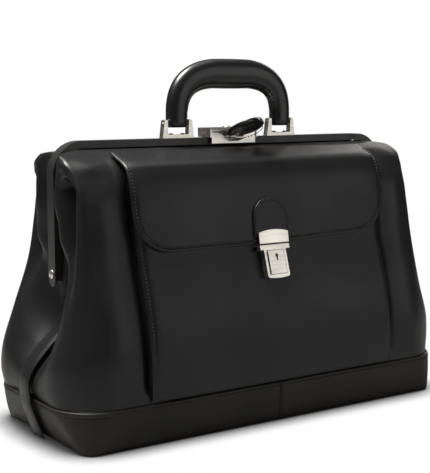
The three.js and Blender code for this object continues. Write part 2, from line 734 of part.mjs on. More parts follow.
/** The pin that the handle turns on in one bracket. */
function handlePin(side) {
  const middle = side * HANDLE_SPAN / 2;
  return barX(HANDLE_PIN_RADIUS, middle - 17.2, middle + 17.2, BRACKET_Y, HANDLE_PIN_HEIGHT, 14);
}

/** Middle line of the handle, from the left end over the top to the right end. */
function handleLine() {
  const [half, top] = [HANDLE_SPAN / 2, HANDLE_TOP - GRIP_MIDDLE_HEIGHT / 2];
  const [foot, knee] = [GRIP_FOOT, GRIP_FOOT + 14];
  const flat = 22;
  const at = ([x, z]) => new THREE.Vector3(x, BRACKET_Y, z);
  const bend = (side) => [[half, knee], [half, top - 14], [half - 16, top - 2], [flat, top]].map(
    ([x, z]) => at([side * x, z]),
  );
  const line = new THREE.CurvePath();
  line.add(new THREE.LineCurve3(at([-half, foot]), at([-half, knee])));
  line.add(new THREE.CubicBezierCurve3(...bend(-1)));
  line.add(new THREE.LineCurve3(at([-flat, top]), at([flat, top])));
  line.add(new THREE.CubicBezierCurve3(...bend(1).reverse()));
  line.add(new THREE.LineCurve3(at([half, knee]), at([half, foot])));
  return line;
}

/** A bar swept along the handle: size(t) gives its height across the curve and its depth along Y. */
function alongHandle(size, sides, count) {
  const line = handleLine();
  return loft(steps(count).map((t) => {
    const centre = line.getPointAt(t);
    const ahead = line.getTangentAt(t);
    const across = new THREE.Vector3(-ahead.z, 0, ahead.x);
    const [height, depth] = size(t);
    return Array.from({ length: sides }, (_, i) => {
      const angle = (i + 0.5) / sides * 2 * Math.PI;
      const corner = sides === 4 ? Math.SQRT1_2 : 0.5;
      return centre.clone()
        .addScaledVector(across, height * corner * Math.cos(angle))
        .addScaledVector(new THREE.Vector3(0, 1, 0), depth * corner * Math.sin(angle));
    });
  }));
}

/** The padded leather grip, hollow for the steel core. */
function handleGrip() {
  const height = (t) => lerp(GRIP_END_WIDTH, GRIP_MIDDLE_HEIGHT, Math.sin(Math.PI * t) ** 2);
  const leather = alongHandle((t) => [height(t), GRIP_DEPTH], 14, 24);
  const tunnels = [-1, 1].flatMap((side) => {
    const x = side * HANDLE_SPAN / 2;
    return [
      block(x - 5.6, x + 5.6, BRACKET_Y - 5.6, BRACKET_Y + 5.6, GRIP_FOOT - 1, HANDLE_PIN_HEIGHT + 6),
      barX(HANDLE_PIN_RADIUS + GAP, x - 15, x + 15, BRACKET_Y, HANDLE_PIN_HEIGHT, 14),
    ];
  });
  return cut(leather, alongHandle(() => [9, 5], 4, 16), ...tunnels);
}

/** The steel strip inside the grip, with an eye round each pin. */
function handleCore() {
  const strip = alongHandle(() => [8.2, 4.2], 4, 16);
  const eyes = [-1, 1].map((side) => {
    const x = side * HANDLE_SPAN / 2;
    return barX(3.2, x - 5, x + 5, BRACKET_Y, HANDLE_PIN_HEIGHT);
  });
  const holes = [-1, 1].map((side) => {
    const x = side * HANDLE_SPAN / 2;
    return barX(HANDLE_PIN_RADIUS + GAP, x - 8, x + 8, BRACKET_Y, HANDLE_PIN_HEIGHT, 14);
  });
  const below = block(-100, 100, -20, 20, GRIP_FOOT - 20, HANDLE_PIN_HEIGHT - 3.4);
  return cut(join(strip, ...eyes), ...holes, below);
}

// ---------- the latch ----------

const LATCH_HALF = 30;
const LATCH_FRONT = -12.4;
const LATCH_REAR = 11;
const LATCH_FOOT = FRAME_TOP + GAP;
const LATCH_TOP = FRAME_TOP + 8.2;
const CHEEK = 2.2;
const CHEEK_RISE = 1.6;
const RIB_WIDTH = 2.6;
const HASP_Y = -10.3;
const HASP_PIN_HEIGHT = FRAME_TOP + 7;
const HASP_PIN_RADIUS = 1;
const HASP_FOOT = FRAME_TOP - 6;
const HASP_HALF = LATCH_HALF - CHEEK - 0.4;
const TAB_LIFT = 17 * Math.PI / 180;
const TAB_RIVET_Y = -8;

/** The lock body on the frame: a block between two ribbed cheeks, notched behind for the keeper. */
function latchBody() {
  const core = block(-LATCH_HALF, LATCH_HALF, -JAW_FACE, LATCH_REAR, LATCH_FOOT, LATCH_TOP);
  const cheekTop = LATCH_TOP + CHEEK_RISE;
  const cheeks = [-1, 1].flatMap((side) => {
    const span = (a, b) => [side * a, side * b].sort((p, q) => p - q);
    const cheekSpan = span(LATCH_HALF - CHEEK, LATCH_HALF);
    const cheek = block(...cheekSpan, LATCH_FRONT, LATCH_REAR, LATCH_FOOT, cheekTop);
    const ribSpan = span(LATCH_HALF - 0.2, LATCH_HALF + 0.8);
    const ribs = [-9, -4, 1, 6].map((y) => block(...ribSpan, y, y + RIB_WIDTH, LATCH_FOOT, cheekTop));
    return [cheek, ...ribs];
  });
  const keeperNotch = block(-9, 9, JAW_FACE, LATCH_REAR + 1, LATCH_FOOT - 1, LATCH_TOP + 1);
  const pinHole = barX(HASP_PIN_RADIUS + GAP, -LATCH_HALF - 2, LATCH_HALF + 2, HASP_Y, HASP_PIN_HEIGHT, 14);
  const rivetHoles = [-1, 1].map((side) => rivetHole(side * LATCH_RIVET_X));
  return cut(join(core, ...cheeks), keeperNotch, pinHole, ...rivetHoles);
}

/** The cover plate on the lock body, with a small round dome on it. */
function latchCover() {
  const half = LATCH_HALF - CHEEK - GAP;
  const foot = LATCH_TOP + GAP;
  const plate = block(-half, half, -JAW_FACE - 0.6, LATCH_REAR, foot, foot + 1.4);
  const rivetRoom = [-1, 1].map((side) => new THREE.CylinderGeometry(3, 3, 4, 16).rotateX(Math.PI / 2)
    .translate(side * LATCH_RIVET_X, BRACKET_Y, foot + 1));
  const domeLine = [[0, 0.5], [5, 0.5], [5, 1.8], [4, 2.6], [0, 3.1]];
  const dome = turned(domeLine, 20).translate(0, 1, foot);
  return join(cut(plate, ...rivetRoom), dome);
}

/** The hasp: a drop plate with a window, two knuckles above and a lug for the pull tab below. */
function hasp() {
  const shape = new THREE.Shape();
  shape.moveTo(-HASP_HALF, HASP_FOOT);
  shape.lineTo(HASP_HALF, HASP_FOOT);
  shape.lineTo(HASP_HALF, HASP_PIN_HEIGHT);
  shape.lineTo(19, HASP_PIN_HEIGHT);
  shape.lineTo(11, FRAME_TOP - 0.5);
  shape.lineTo(-11, FRAME_TOP - 0.5);
  shape.lineTo(-19, HASP_PIN_HEIGHT);
  shape.lineTo(-HASP_HALF, HASP_PIN_HEIGHT);
  const plate = slab(shape, HASP_Y - 1, HASP_Y + 1);
  const knuckles = [-1, 1].map((side) => {
    const [x0, x1] = [side * 19, side * HASP_HALF].sort((a, b) => a - b);
    return barX(2, x0, x1, HASP_Y, HASP_PIN_HEIGHT);
  });
  const lug = block(-6, 6, -13, 0.5, -1.2, 0).rotateX(-TAB_LIFT).translate(0, HASP_Y - 0.5, HASP_FOOT + 3);
  const pinHole = barX(HASP_PIN_RADIUS + GAP, -LATCH_HALF, LATCH_HALF, HASP_Y, HASP_PIN_HEIGHT, 14);
  const tabHole = new THREE.CylinderGeometry(1.5, 1.5, 8, 12);
  tabHole.rotateX(Math.PI / 2).translate(0, TAB_RIVET_Y, 0);
  tabHole.rotateX(-TAB_LIFT).translate(0, HASP_Y - 0.5, HASP_FOOT + 3);
  return cut(join(plate, ...knuckles, lug), pinHole, tabHole);
}

/** The pin that the hasp turns on. */
function haspPin() {
  return barX(HASP_PIN_RADIUS, -LATCH_HALF, LATCH_HALF, HASP_Y, HASP_PIN_HEIGHT, 14);
}

/** The oval leather pull tab on the hasp, tipped up towards the hand, and its rivet. */
function pullTab() {
  const length = 47;
  const halfWidth = 16;
  const thickness = 3.4;
  const holder = new THREE.Group();
  holder.position.set(0, HASP_Y - 0.5, HASP_FOOT + 3);
  holder.rotation.x = -TAB_LIFT;
  const shape = new THREE.Shape();
  shape.moveTo(-7, -1.2);
  shape.bezierCurveTo(-13, -8, -halfWidth - 1.5, -16, -halfWidth, -26);
  shape.bezierCurveTo(-halfWidth + 1, -length + 6, -9, -length, 0, -length);
  shape.bezierCurveTo(9, -length, halfWidth - 1, -length + 6, halfWidth, -26);
  shape.bezierCurveTo(halfWidth + 1.5, -16, 13, -8, 7, -1.2);
  const flat = { depth: thickness, bevelEnabled: false, curveSegments: 7 };
  const leather = new THREE.ExtrudeGeometry(shape, flat);
  const hole = new THREE.CylinderGeometry(1.5, 1.5, 12, 12).rotateX(Math.PI / 2).translate(0, TAB_RIVET_Y, 0);
  const seat = thickness + 0.6;
  const shank = [[0, -1.2], [1.2, -1.2], [1.2, seat]];
  const rivet = turned([...shank, [3, seat], [2.2, seat + 1], [0, seat + 1.3]], 14);
  holder.add(
    part('latch_pull_tab', cut(leather.translate(0, 0, GAP), hole), BLACK_LEATHER),
    part('latch_pull_rivet', rivet.translate(0, TAB_RIVET_Y, 0), NICKEL),
  );
  return holder;
}

/** The keeper on the back jaw, which stands in the notch of the lock body. */
function keeper() {
  return block(-8, 8, JAW_FACE + GAP, JAW_FACE + GAP + 1.6, BAR_UNDERSIDE + 1, LATCH_TOP - 0.8);
}

// ---------- the whole bag ----------

const bag = new THREE.Group();
bag.add(
  part('base_band', baseBand(), BAND_LEATHER),
  part('base_board', baseBoard(), BOARD),
  part('body_front', bodyLeather('front'), BLACK_LEATHER),
  part('body_back', bodyLeather('back'), BLACK_LEATHER),
  part('lining', lining(), CLOTH),
  part('pocket_panel', pocketPanel(), BLACK_LEATHER),
  part('pocket_flap', pocketFlap(), BLACK_LEATHER),
  part('lock_tab', lockTab(), BLACK_LEATHER),
  leaning(
    PLATE_HEIGHT,
    part('lock_upper_plate', upperPlate(), NICKEL),
    part('lock_tongue', lockTongue(), NICKEL),
  ),
  leaning(
    CASE_HEIGHT,
    part('lock_case', lockCase(), NICKEL),
    part('lock_press_plate', pressPlate(), NICKEL),
    part('lock_key_plug', keyPlug(), CORE_STEEL),
    part('lock_back_plate', lockBackPlate(), CORE_STEEL),
  ),
  part('frame_front', frontJaw(), FRAME_STEEL),
  part('frame_back', backJaw(), FRAME_STEEL),
  part('frame_keeper', keeper(), NICKEL),
  part('handle_grip', handleGrip(), BLACK_LEATHER),
  part('handle_core', handleCore(), CORE_STEEL),
  part('latch_body', latchBody(), NICKEL),
  part('latch_cover', latchCover(), NICKEL),
  part('latch_hasp', hasp(), NICKEL),
  part('latch_hasp_pin', haspPin(), NICKEL),
  pullTab(),
);
for (const side of ['left', 'right']) {
  const sign = side === 'left' ? -1 : 1;
  bag.add(
    part(`end_strap_${side}`, endStrap(side), BLACK_LEATHER),
    part(`hinge_rivet_${side}`, hingeRivet(side), NICKEL),
    part(`handle_bracket_${side}`, bracket(sign), NICKEL),
    part(`handle_pin_${side}`, handlePin(sign), CORE_STEEL),
  );
}
rivetPlaces().forEach(([x, top], number) => {
  bag.add(part(`frame_rivet_${number + 1}`, smallRivet(x, top), NICKEL));
});

export default bag;
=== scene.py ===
"""Doctor bag: the leather, thread, lining, materials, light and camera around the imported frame.

Lengths are in millimetres in the shape functions, and become metres when a mesh is made.
"""

import math

import bmesh
import bpy
import numpy as np
from mathutils import Matrix, Vector


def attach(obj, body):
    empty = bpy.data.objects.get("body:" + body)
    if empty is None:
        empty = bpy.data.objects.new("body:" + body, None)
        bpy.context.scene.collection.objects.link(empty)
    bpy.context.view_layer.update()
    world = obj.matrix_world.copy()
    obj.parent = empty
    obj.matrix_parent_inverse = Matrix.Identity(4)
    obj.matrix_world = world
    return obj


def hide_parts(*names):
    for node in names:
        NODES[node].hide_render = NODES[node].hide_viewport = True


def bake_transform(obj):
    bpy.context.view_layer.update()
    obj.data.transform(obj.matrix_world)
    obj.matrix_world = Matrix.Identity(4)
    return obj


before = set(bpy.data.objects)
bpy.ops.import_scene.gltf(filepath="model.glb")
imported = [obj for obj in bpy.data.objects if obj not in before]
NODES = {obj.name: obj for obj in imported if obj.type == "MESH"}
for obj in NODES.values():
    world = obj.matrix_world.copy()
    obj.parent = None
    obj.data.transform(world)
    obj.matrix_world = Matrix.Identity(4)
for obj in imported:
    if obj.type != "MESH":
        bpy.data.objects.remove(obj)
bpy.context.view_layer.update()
MM = 0.001
WELD = 1e-6  # metres

# ---------- driving dimensions, as in the CAD part ----------

BASE_HALF_LENGTH = 220
BASE_HALF_DEPTH = 89
BAND_HEIGHT = 41
GAP = 0.3
FRAME_TOP = 284
HANG_END = 196.2
HANG_TOP = 276.4
HANG_FOOT = 150
HANG_CORNER = 25
HANG_DEPTH = 4
SEAM_GAP = 0.2
BODY_FOOT = BAND_HEIGHT + GAP
BAND_FLARE = 15
STRAP_HALF_WIDTH = 9.5
STRAP_SHOWN = STRAP_HALF_WIDTH + 2.5
POCKET_HALF_WIDTH = 150
POCKET_TOP = 250
POCKET_RISE = 10
POCKET_LIP = 3
POCKET_THICKNESS = 2
FLAP_HALF_WIDTH = 155
FLAP_EDGE = 178
FLAP_FOLD = 271
FLAP_CORNER = 38
FLAP_TILT = 0.034
FLAP_THICKNESS = 2.8
TAB_HALF_WIDTH = 21
TAB_THICKNESS = 2
HANDLE_HALF_SPAN = 65
HANDLE_TOP = 364
HANDLE_Y = -3.5
GRIP_FOOT = FRAME_TOP + 11
LEATHER = 2.6
LINING_GAP = 1.2
LINING_THICKNESS = 1.2

# Shares of the half outline, from the middle of an end to the middle of the front
SEAM_SHARE = 0.054
END_SHARE = 0.16
ARM_SHARE = 0.26
CORNER_SHARE = 0.38

# Level curves of the leather: height at the front, half length, half depth, corner radius,
# and half length at the middle of the end
FRONT_ROWS = (
    (BODY_FOOT, 231, 91, 46, 230),
    (60, 235, 90.3, 50, 233),
    (88, 232.5, 87, 43, 231),
    (130, 224, 78, 35, 215),
    (176, 219.5, 64, 22, 194),
    (215, 215.5, 58, 18, 187),
    (245, 213, 51, 14, 186),
    (265, 212, 36, 9, 188),
    (273, 206, 20, 6, 191),
)
BACK_ROWS = (
    (BODY_FOOT, 233, 92, 46, 230),
    (60, 238, 92, 50, 233),
    (88, 235, 88, 44, 231),
    (130, 223.5, 78, 35, 215),
    (176, 211.5, 64, 22, 194),
    (215, 206.5, 57, 18, 187),
    (245, 205, 50, 14, 186),
    (265, 208.5, 36, 9, 188),
    (273, 205, 20, 6, 191),
)


# ---------- small mathematics ----------


def smooth(value, low, high):
    """0 below low, 1 above high, with a soft turn at both."""
    t = np.clip((value - low) / (high - low), 0, 1)
    return t * t * (3 - 2 * t)


def hump(value, middle, width):
    """1 at the middle, falling softly to nothing about 2 widths away."""
    return np.exp(-(((value - middle) / width) ** 2))


def lerp(a, b, t):
    return a + (b - a) * t


def ripple(a, b, seed):
    """A calm unevenness between -1 and 1 over two coordinates, made of a few waves."""
    total = 0
    for k in range(1, 5):
        turn = seed * 1.7 + k * 2.1
        total = total + np.sin(a * math.cos(turn) * 0.021 * k + b * math.sin(turn) * 0.021 * k + turn * 3) / k
    return total / 2.1


def catmull_rom(points, count):
    """Centripetal Catmull-Rom through points (..., n, 3), sampled evenly in its segments: (..., count, 3)."""
    n = points.shape[-2]
    first = 2 * points[..., :1, :] - points[..., 1:2, :]
    last = 2 * points[..., -1:, :] - points[..., -2:-1, :]
    p = np.concatenate([first, points, last], axis=-2)
    where = np.linspace(0, n - 1, count)
    segment = np.minimum(where.astype(int), n - 2)
    t = (where - segment)[:, None]
    a, b, c, d = (p[..., segment + k, :] for k in range(4))
    ab, bc, cd = (np.sqrt(np.linalg.norm(q - r, axis=-1, keepdims=True)) for q, r in ((b, a), (c, b), (d, c)))
    ab, cd = np.where(ab < 1e-4, bc, ab), np.where(cd < 1e-4, bc, cd)
    m1 = ((b - a) / ab - (c - a) / (ab + bc) + (c - b) / bc) * bc
    m2 = ((c - b) / bc - (d - b) / (bc + cd) + (d - c) / cd) * bc
    return b + m1 * t + (3 * (c - b) - 2 * m1 - m2) * t**2 + (2 * (b - c) + m1 + m2) * t**3


def grid_normals(grid):
    """Unit normals of a grid of points (n, m, 3)."""
    normal = np.cross(np.gradient(grid, axis=0), np.gradient(grid, axis=1))
    return normal / np.maximum(np.linalg.norm(normal, axis=-1, keepdims=True), 1e-9)


def spaced(count, edge=6, low=0.0, high=1.0):
    """Values from low to high that crowd near both ends, so that an edge can be rounded."""
    even = np.linspace(0, 1, count)
    near = 0.5 * (0.5 / (count * 2)) * (np.arange(1, edge) / edge) ** 2
    return low + (high - low) * np.unique(np.concatenate([even, near, 1 - near]))


def bezier(p0, p1, p2, p3, count=16):
    """Points along a cubic curve."""
    t = np.linspace(0, 1, count)[:, None]
    p0, p1, p2, p3 = (np.array(p, float) for p in (p0, p1, p2, p3))
    return (1 - t) ** 3 * p0 + 3 * (1 - t) ** 2 * t * p1 + 3 * (1 - t) * t**2 * p2 + t**3 * p3


# ---------- meshes ----------

EDGE_ROUNDING = 0.45  # share of the thickness


def mesh_object(name, points, faces, materials, face_slots=None):
    """An object from points in millimetres, smooth shaded, with its materials."""
    mesh = bpy.data.meshes.new(name)
    mesh.from_pydata((np.asarray(points) * MM).tolist(), [], faces)
    mesh.validate()
    for material in materials:
        mesh.materials.append(material)
    if face_slots is not None:
        mesh.polygons.foreach_set("material_index", face_slots)
    mesh.polygons.foreach_set("use_smooth", [True] * len(mesh.polygons))
    obj = bpy.data.objects.new(name, mesh)
    bpy.context.collection.objects.link(obj)
    return obj


def grid_faces(rows, columns, start=0, closed=False, flip=False):
    """Quadrilaterals over a grid of points numbered row by row."""
    wrap = columns if closed else columns - 1
    faces = []
    for i in range(rows - 1):
        for j in range(wrap):
            k = (j + 1) % columns
            a, b = start + i * columns + j, start + i * columns + k
            quad = (a, b, b + columns, a + columns)
            faces.append(quad[::-1] if flip else quad)
    return faces


def sheet_mesh(outside, inside):
    """A closed sheet between two grids: its points, its faces, and how many faces come before the rim."""
    n, m = outside.shape[:2]
    far = n * m
    faces = grid_faces(n, m, flip=True) + grid_faces(n, m, start=far)
    sides = len(faces)
    rim = [i * m for i in range(n - 1)] + [(n - 1) * m + j for j in range(m - 1)]
    rim += [i * m + m - 1 for i in range(n - 1, 0, -1)] + list(range(m - 1, 0, -1))
    for k, a in enumerate(rim):
        b = rim[(k + 1) % len(rim)]
        faces.append((a, b, b + far, a + far))
    return np.concatenate([outside.reshape(-1, 3), inside.reshape(-1, 3)]), faces, sides


def tidy(obj):
    """Joins points that lie together, and turns every face outward."""
    work = bmesh.new()
    work.from_mesh(obj.data)
    bmesh.ops.remove_doubles(work, verts=work.verts, dist=WELD)
    bmesh.ops.recalc_face_normals(work, faces=work.faces)
    work.to_mesh(obj.data)
    work.free()
    return obj


def leather_sheet(name, outside, thickness, face):
    """A closed piece of leather with rounded edges, from its outer grid. Its rim is painted cut edge."""
    normal = grid_normals(outside)
    radius = thickness * EDGE_ROUNDING
    reach = np.clip(radius - edge_distance(outside), 0, radius)
    sink = (radius - np.sqrt(np.maximum(radius**2 - reach**2, 0)))[..., None] * normal
    points, faces, sides = sheet_mesh(outside - sink, outside - normal * thickness + sink)
    slots = [0] * sides + [1] * (len(faces) - sides)
    return tidy(mesh_object(name, points, faces, [face, EDGE], slots))


def edge_distance(grid):
    """Distance of each point of a grid from the grid's edge, measured along its rows and columns."""
    def along(axis):
        steps = np.linalg.norm(np.diff(grid, axis=axis), axis=-1)
        walked = np.concatenate([np.zeros_like(np.take(steps, [0], axis)), np.cumsum(steps, axis)], axis)
        whole = np.take(walked, [-1], axis)
        return np.minimum(walked, whole - walked)

    return np.minimum(along(0), along(1))


def swept(centres, across, sizes, sides, power=2.0):
    """Rings round a line: across is the ring's first axis, Y its second, sizes (n, 2) its half widths."""
    angle = np.linspace(0, 2 * np.pi, sides, endpoint=False)
    c, s = np.cos(angle), np.sin(angle)
    c = np.sign(c) * np.abs(c) ** (2 / power)
    s = np.sign(s) * np.abs(s) ** (2 / power)
    y = np.array([0, 1, 0])
    return (
        centres[:, None]
        + across[:, None] * (c[None, :, None] * sizes[:, None, :1])
        + y * (s[None, :, None] * sizes[:, None, 1:])
    )


def ring_mesh(name, rings, materials):
    """A closed solid through rings of points (n, m, 3), its ends filled."""
    n, m = rings.shape[:2]
    points = np.concatenate([rings.reshape(-1, 3), rings[0].mean(0)[None], rings[-1].mean(0)[None]])
    faces = grid_faces(n, m, closed=True)
    faces += [(n * m, (j + 1) % m, j) for j in range(m)]
    last = (n - 1) * m
    faces += [(n * m + 1, last + j, last + (j + 1) % m) for j in range(m)]
    return tidy(mesh_object(name, points, faces, materials))


# ---------- stitches ----------

STITCH_LENGTH = 2.4
STITCH_GAP = 1.1
STITCH_RADIUS = 0.48
STITCH_LIFT = 0.2
STITCH_MARGIN = 3.4
PRESS_DEPTH, PRESS_WIDTH = 0.9, 0.8

# One stitch, in rings from end to end: place along it, radius, and height above its path
STITCH_ALONG = np.array([-0.5, -0.42, -0.2, 0.2, 0.42, 0.5]) * STITCH_LENGTH
STITCH_GIRTH = np.array([0.35, 0.8, 1, 1, 0.8, 0.35]) * STITCH_RADIUS
STITCH_DIP = np.array([-1.3, -0.5, 0, 0, -0.5, -1.3]) * STITCH_RADIUS
STITCH_ANGLES = np.linspace(0, 2 * np.pi, 6, endpoint=False)


def distance_along(path):
    """How far along a path each of its points is."""
    return np.concatenate([[0], np.cumsum(np.linalg.norm(np.diff(path, axis=0), axis=1))])


def points_at(path, walked, places):
    """Points of a path at given distances along it."""
    return np.stack([np.interp(places, walked, path[:, k]) for k in range(3)], axis=1)


def resample(path, spacing, reach=0.4):
    """Points at an even spacing along a path, with their directions."""
    path = np.asarray(path, float)
    walked = distance_along(path)
    count = max(2, int(walked[-1] / spacing))
    places = (np.arange(count) + 0.5) * walked[-1] / count
    direction = points_at(path, walked, places + reach) - points_at(path, walked, places - reach)
    return points_at(path, walked, places), direction / np.linalg.norm(direction, axis=1, keepdims=True)


def stitch_points(centre, tangent, normal, lift):
    """The points of one stitch, ring by ring; it dips into the leather at both ends."""
    side = np.cross(tangent, normal)
    side /= np.linalg.norm(side)
    normal = np.cross(side, tangent)
    return np.concatenate([
        centre + tangent * a + normal * (d + lift)
        + np.outer(np.cos(STITCH_ANGLES), side) * g + np.outer(np.sin(STITCH_ANGLES), normal) * g
        for a, g, d in zip(STITCH_ALONG, STITCH_GIRTH, STITCH_DIP)
    ])


def add_stitches(obj, paths, lift=STITCH_LIFT):
    """Thread stitches along paths of (points, normals), joined to a leather piece as its last material."""
    rings, m = len(STITCH_ALONG), len(STITCH_ANGLES)
    points, faces = [], []
    for path, normals in paths:
        centres, ahead = resample(path, STITCH_LENGTH + STITCH_GAP)
        for centre, tangent, normal in zip(centres, ahead, nearest_normals(centres, path, normals)):
            start = len(points) * rings * m
            points.append(stitch_points(centre, tangent, normal, lift))
            faces += grid_faces(rings, m, start=start, closed=True)
            faces.append(tuple(start + j for j in range(m))[::-1])
            faces.append(tuple(start + (rings - 1) * m + j for j in range(m)))
    stitches = mesh_object(f"{obj.name}_thread", np.concatenate(points), faces, [THREAD])
    slot = len(obj.data.materials)
    obj.data.materials.append(THREAD)
    return join(obj, stitches, slot)


def nearest_normals(centres, path, normals):
    """The normal of the path's point nearest to each centre."""
    path = np.asarray(path)
    nearest = ((centres[:, None] - path[None]) ** 2).sum(-1).argmin(1)
    return np.asarray(normals)[nearest]


def on_grid(line, grid):
    """A line that lies on a grid, as a path with the grid's outward normals."""
    return line, nearest_normals(line, grid.reshape(-1, 3), outward_normals(grid).reshape(-1, 3))


def join(obj, other, slot):
    """Joins another object's mesh into obj, all of it in one of obj's material slots."""
    base, extra = obj.data, other.data
    points = [v.co[:] for v in base.vertices] + [v.co[:] for v in extra.vertices]
    shift = len(base.vertices)
    faces = [tuple(p.vertices) for p in base.polygons]
    slots = [p.material_index for p in base.polygons]
    faces += [tuple(k + shift for k in p.vertices) for p in extra.polygons]
    slots += [slot] * len(extra.polygons)
    mesh = bpy.data.meshes.new(obj.name)
    mesh.from_pydata(points, [], faces)
    for material in base.materials:
        mesh.materials.append(material)
    mesh.polygons.foreach_set("material_index", slots)
    mesh.polygons.foreach_set("use_smooth", [True] * len(faces))
    obj.data = mesh
    bpy.data.meshes.remove(base)
    bpy.data.objects.remove(other)
    return obj


# ---------- materials ----------


class Nodes:
    """A material's node tree, with short calls for what the materials here use."""

    def __init__(self, name):
        self.material = bpy.data.materials.new(name)
        self.material.use_nodes = True
        self.tree = self.material.node_tree
        self.shader = self.tree.nodes["Principled BSDF"]
        self.place = self.tree.nodes.new("ShaderNodeTexCoord").outputs["Object"]

    def add(self, kind, inputs=None, **settings):
        node = self.tree.nodes.new(kind)
        for key, value in settings.items():
            setattr(node, key, value)
        for key, value in (inputs or {}).items():
            self.put(node.inputs[key], value)
        return node

    def put(self, socket, value):
        if isinstance(value, bpy.types.NodeSocket):
            self.tree.links.new(value, socket)
        else:
            socket.default_value = value

    def noise(self, scale, detail=3.0, place=None):
        inputs = {"Vector": place or self.place, "Scale": scale, "Detail": detail}
        return self.add("ShaderNodeTexNoise", inputs).outputs["Fac"]

    def cells(self, scale):
        inputs = {"Vector": self.place, "Scale": scale}
        return self.add("ShaderNodeTexVoronoi", inputs).outputs["Distance"]

    def stretch(self, scale):
        return self.add("ShaderNodeMapping", {"Vector": self.place, "Scale": scale}).outputs["Vector"]

    def ramp(self, value, low, high, out_low, out_high):
        node = self.add("ShaderNodeMapRange", {"Value": value})
        for key, number in zip(("From Min", "From Max", "To Min", "To Max"), (low, high, out_low, out_high)):
            node.inputs[key].default_value = number
        return node.outputs["Result"]

    def colours(self, value, first, second):
        node = self.add("ShaderNodeMix", {"Factor": value}, data_type="RGBA")
        node.inputs["A"].default_value = (*first, 1)
        node.inputs["B"].default_value = (*second, 1)
        return node.outputs["Result"]

    def bump(self, height, distance, strength=1.0, under=None):
        node = self.add("ShaderNodeBump", {"Height": height, "Distance": distance, "Strength": strength})
        if under is not None:
            self.put(node.inputs["Normal"], under)
        return node.outputs["Normal"]

    def set(self, **values):
        names = {"color": "Base Color", "normal": "Normal", "metallic": "Metallic"}
        names |= {"specular": "Specular IOR Level"}
        names |= {"roughness": "Roughness", "sheen": "Sheen Weight", "sheen_roughness": "Sheen Roughness"}
        for key, value in values.items():
            self.put(self.shader.inputs[names[key]], value)
        return self.material


GRAIN_DEPTH = 0.05
CREASE_DEPTH = 0.25


def leather_material(name, dark, light, roughness, specular):
    """Smooth dyed leather: a faint pebble grain, slow changes of tone and gloss, and a thin finish."""
    n = Nodes(name)
    tone = n.ramp(n.noise(9, 4), 0.35, 0.68, 0, 1)
    fine = n.noise(420, 2)
    grain = n.bump(n.cells(850), GRAIN_DEPTH * MM, 0.5)
    creased = n.bump(n.noise(60, 6), CREASE_DEPTH * MM, 0.35, under=grain)
    worn = n.add("ShaderNodeMath", {0: tone, 1: fine}, operation="MULTIPLY").outputs[0]
    gloss = n.ramp(worn, 0, 0.7, roughness + 0.05, roughness - 0.07)
    return n.set(
        color=n.colours(tone, dark, light),
        roughness=gloss,
        specular=specular,
        normal=creased,
    )


def edge_material():
    """The painted cut edge of leather, a little glossier than its face."""
    n = Nodes("leather_edge")
    tone = n.noise(60, 3)
    return n.set(
        color=n.colours(tone, (0.004, 0.004, 0.004), (0.014, 0.013, 0.013)),
        roughness=n.ramp(tone, 0.3, 0.7, 0.28, 0.42),
        specular=0.4,
        normal=n.bump(n.noise(300, 2), 0.05 * MM, 0.4),
    )


def thread_material():
    """Waxed black thread with its twist."""
    n = Nodes("thread")
    twist = n.add("ShaderNodeTexWave", {"Vector": n.place, "Scale": 480.0, "Distortion": 1.0}).outputs["Fac"]
    return n.set(
        color=n.colours(twist, (0.018, 0.017, 0.016), (0.042, 0.040, 0.037)),
        roughness=n.ramp(twist, 0, 1, 0.55, 0.75),
        specular=0.35,
        normal=n.bump(twist, 0.08 * MM, 0.6),
    )


def nickel_material(name, colour, roughness):
    """Satin nickel plate: fine brushing, a slow change of tone and a few faint stains."""
    n = Nodes(name)
    brushed = n.noise(300, 3, n.stretch((0.12, 1, 1)))
    cloudy = n.noise(45, 3)
    deeper = tuple(c * 0.82 for c in colour)
    return n.set(
        color=n.colours(n.ramp(cloudy, 0.3, 0.7, 0, 1), deeper, colour),
        metallic=1.0,
        roughness=n.ramp(brushed, 0.3, 0.7, roughness - 0.06, roughness + 0.08),
        normal=n.bump(brushed, 0.02 * MM, 0.35),
    )


def frame_material():
    """The frame's black satin coat, rubbed a little along it."""
    n = Nodes("frame_coat")
    rubbed = n.noise(140, 4, n.stretch((0.3, 1, 0.3)))
    cloudy = n.ramp(n.noise(14, 3), 0.35, 0.65, 0, 1)
    return n.set(
        color=n.colours(cloudy, (0.012, 0.012, 0.012), (0.022, 0.021, 0.021)),
        roughness=n.ramp(rubbed, 0.3, 0.7, 0.3, 0.44),
        specular=0.6,
        normal=n.bump(rubbed, 0.04 * MM, 0.4),
    )


def steel_material():
    """Plain steel of the hidden pieces."""
    n = Nodes("mill_steel")
    mill = n.noise(200, 4, n.stretch((1, 0.2, 1)))
    return n.set(
        color=n.colours(mill, (0.3, 0.3, 0.3), (0.5, 0.49, 0.48)),
        metallic=1.0,
        roughness=n.ramp(mill, 0.3, 0.7, 0.35, 0.55),
        normal=n.bump(mill, 0.03 * MM, 0.5),
    )


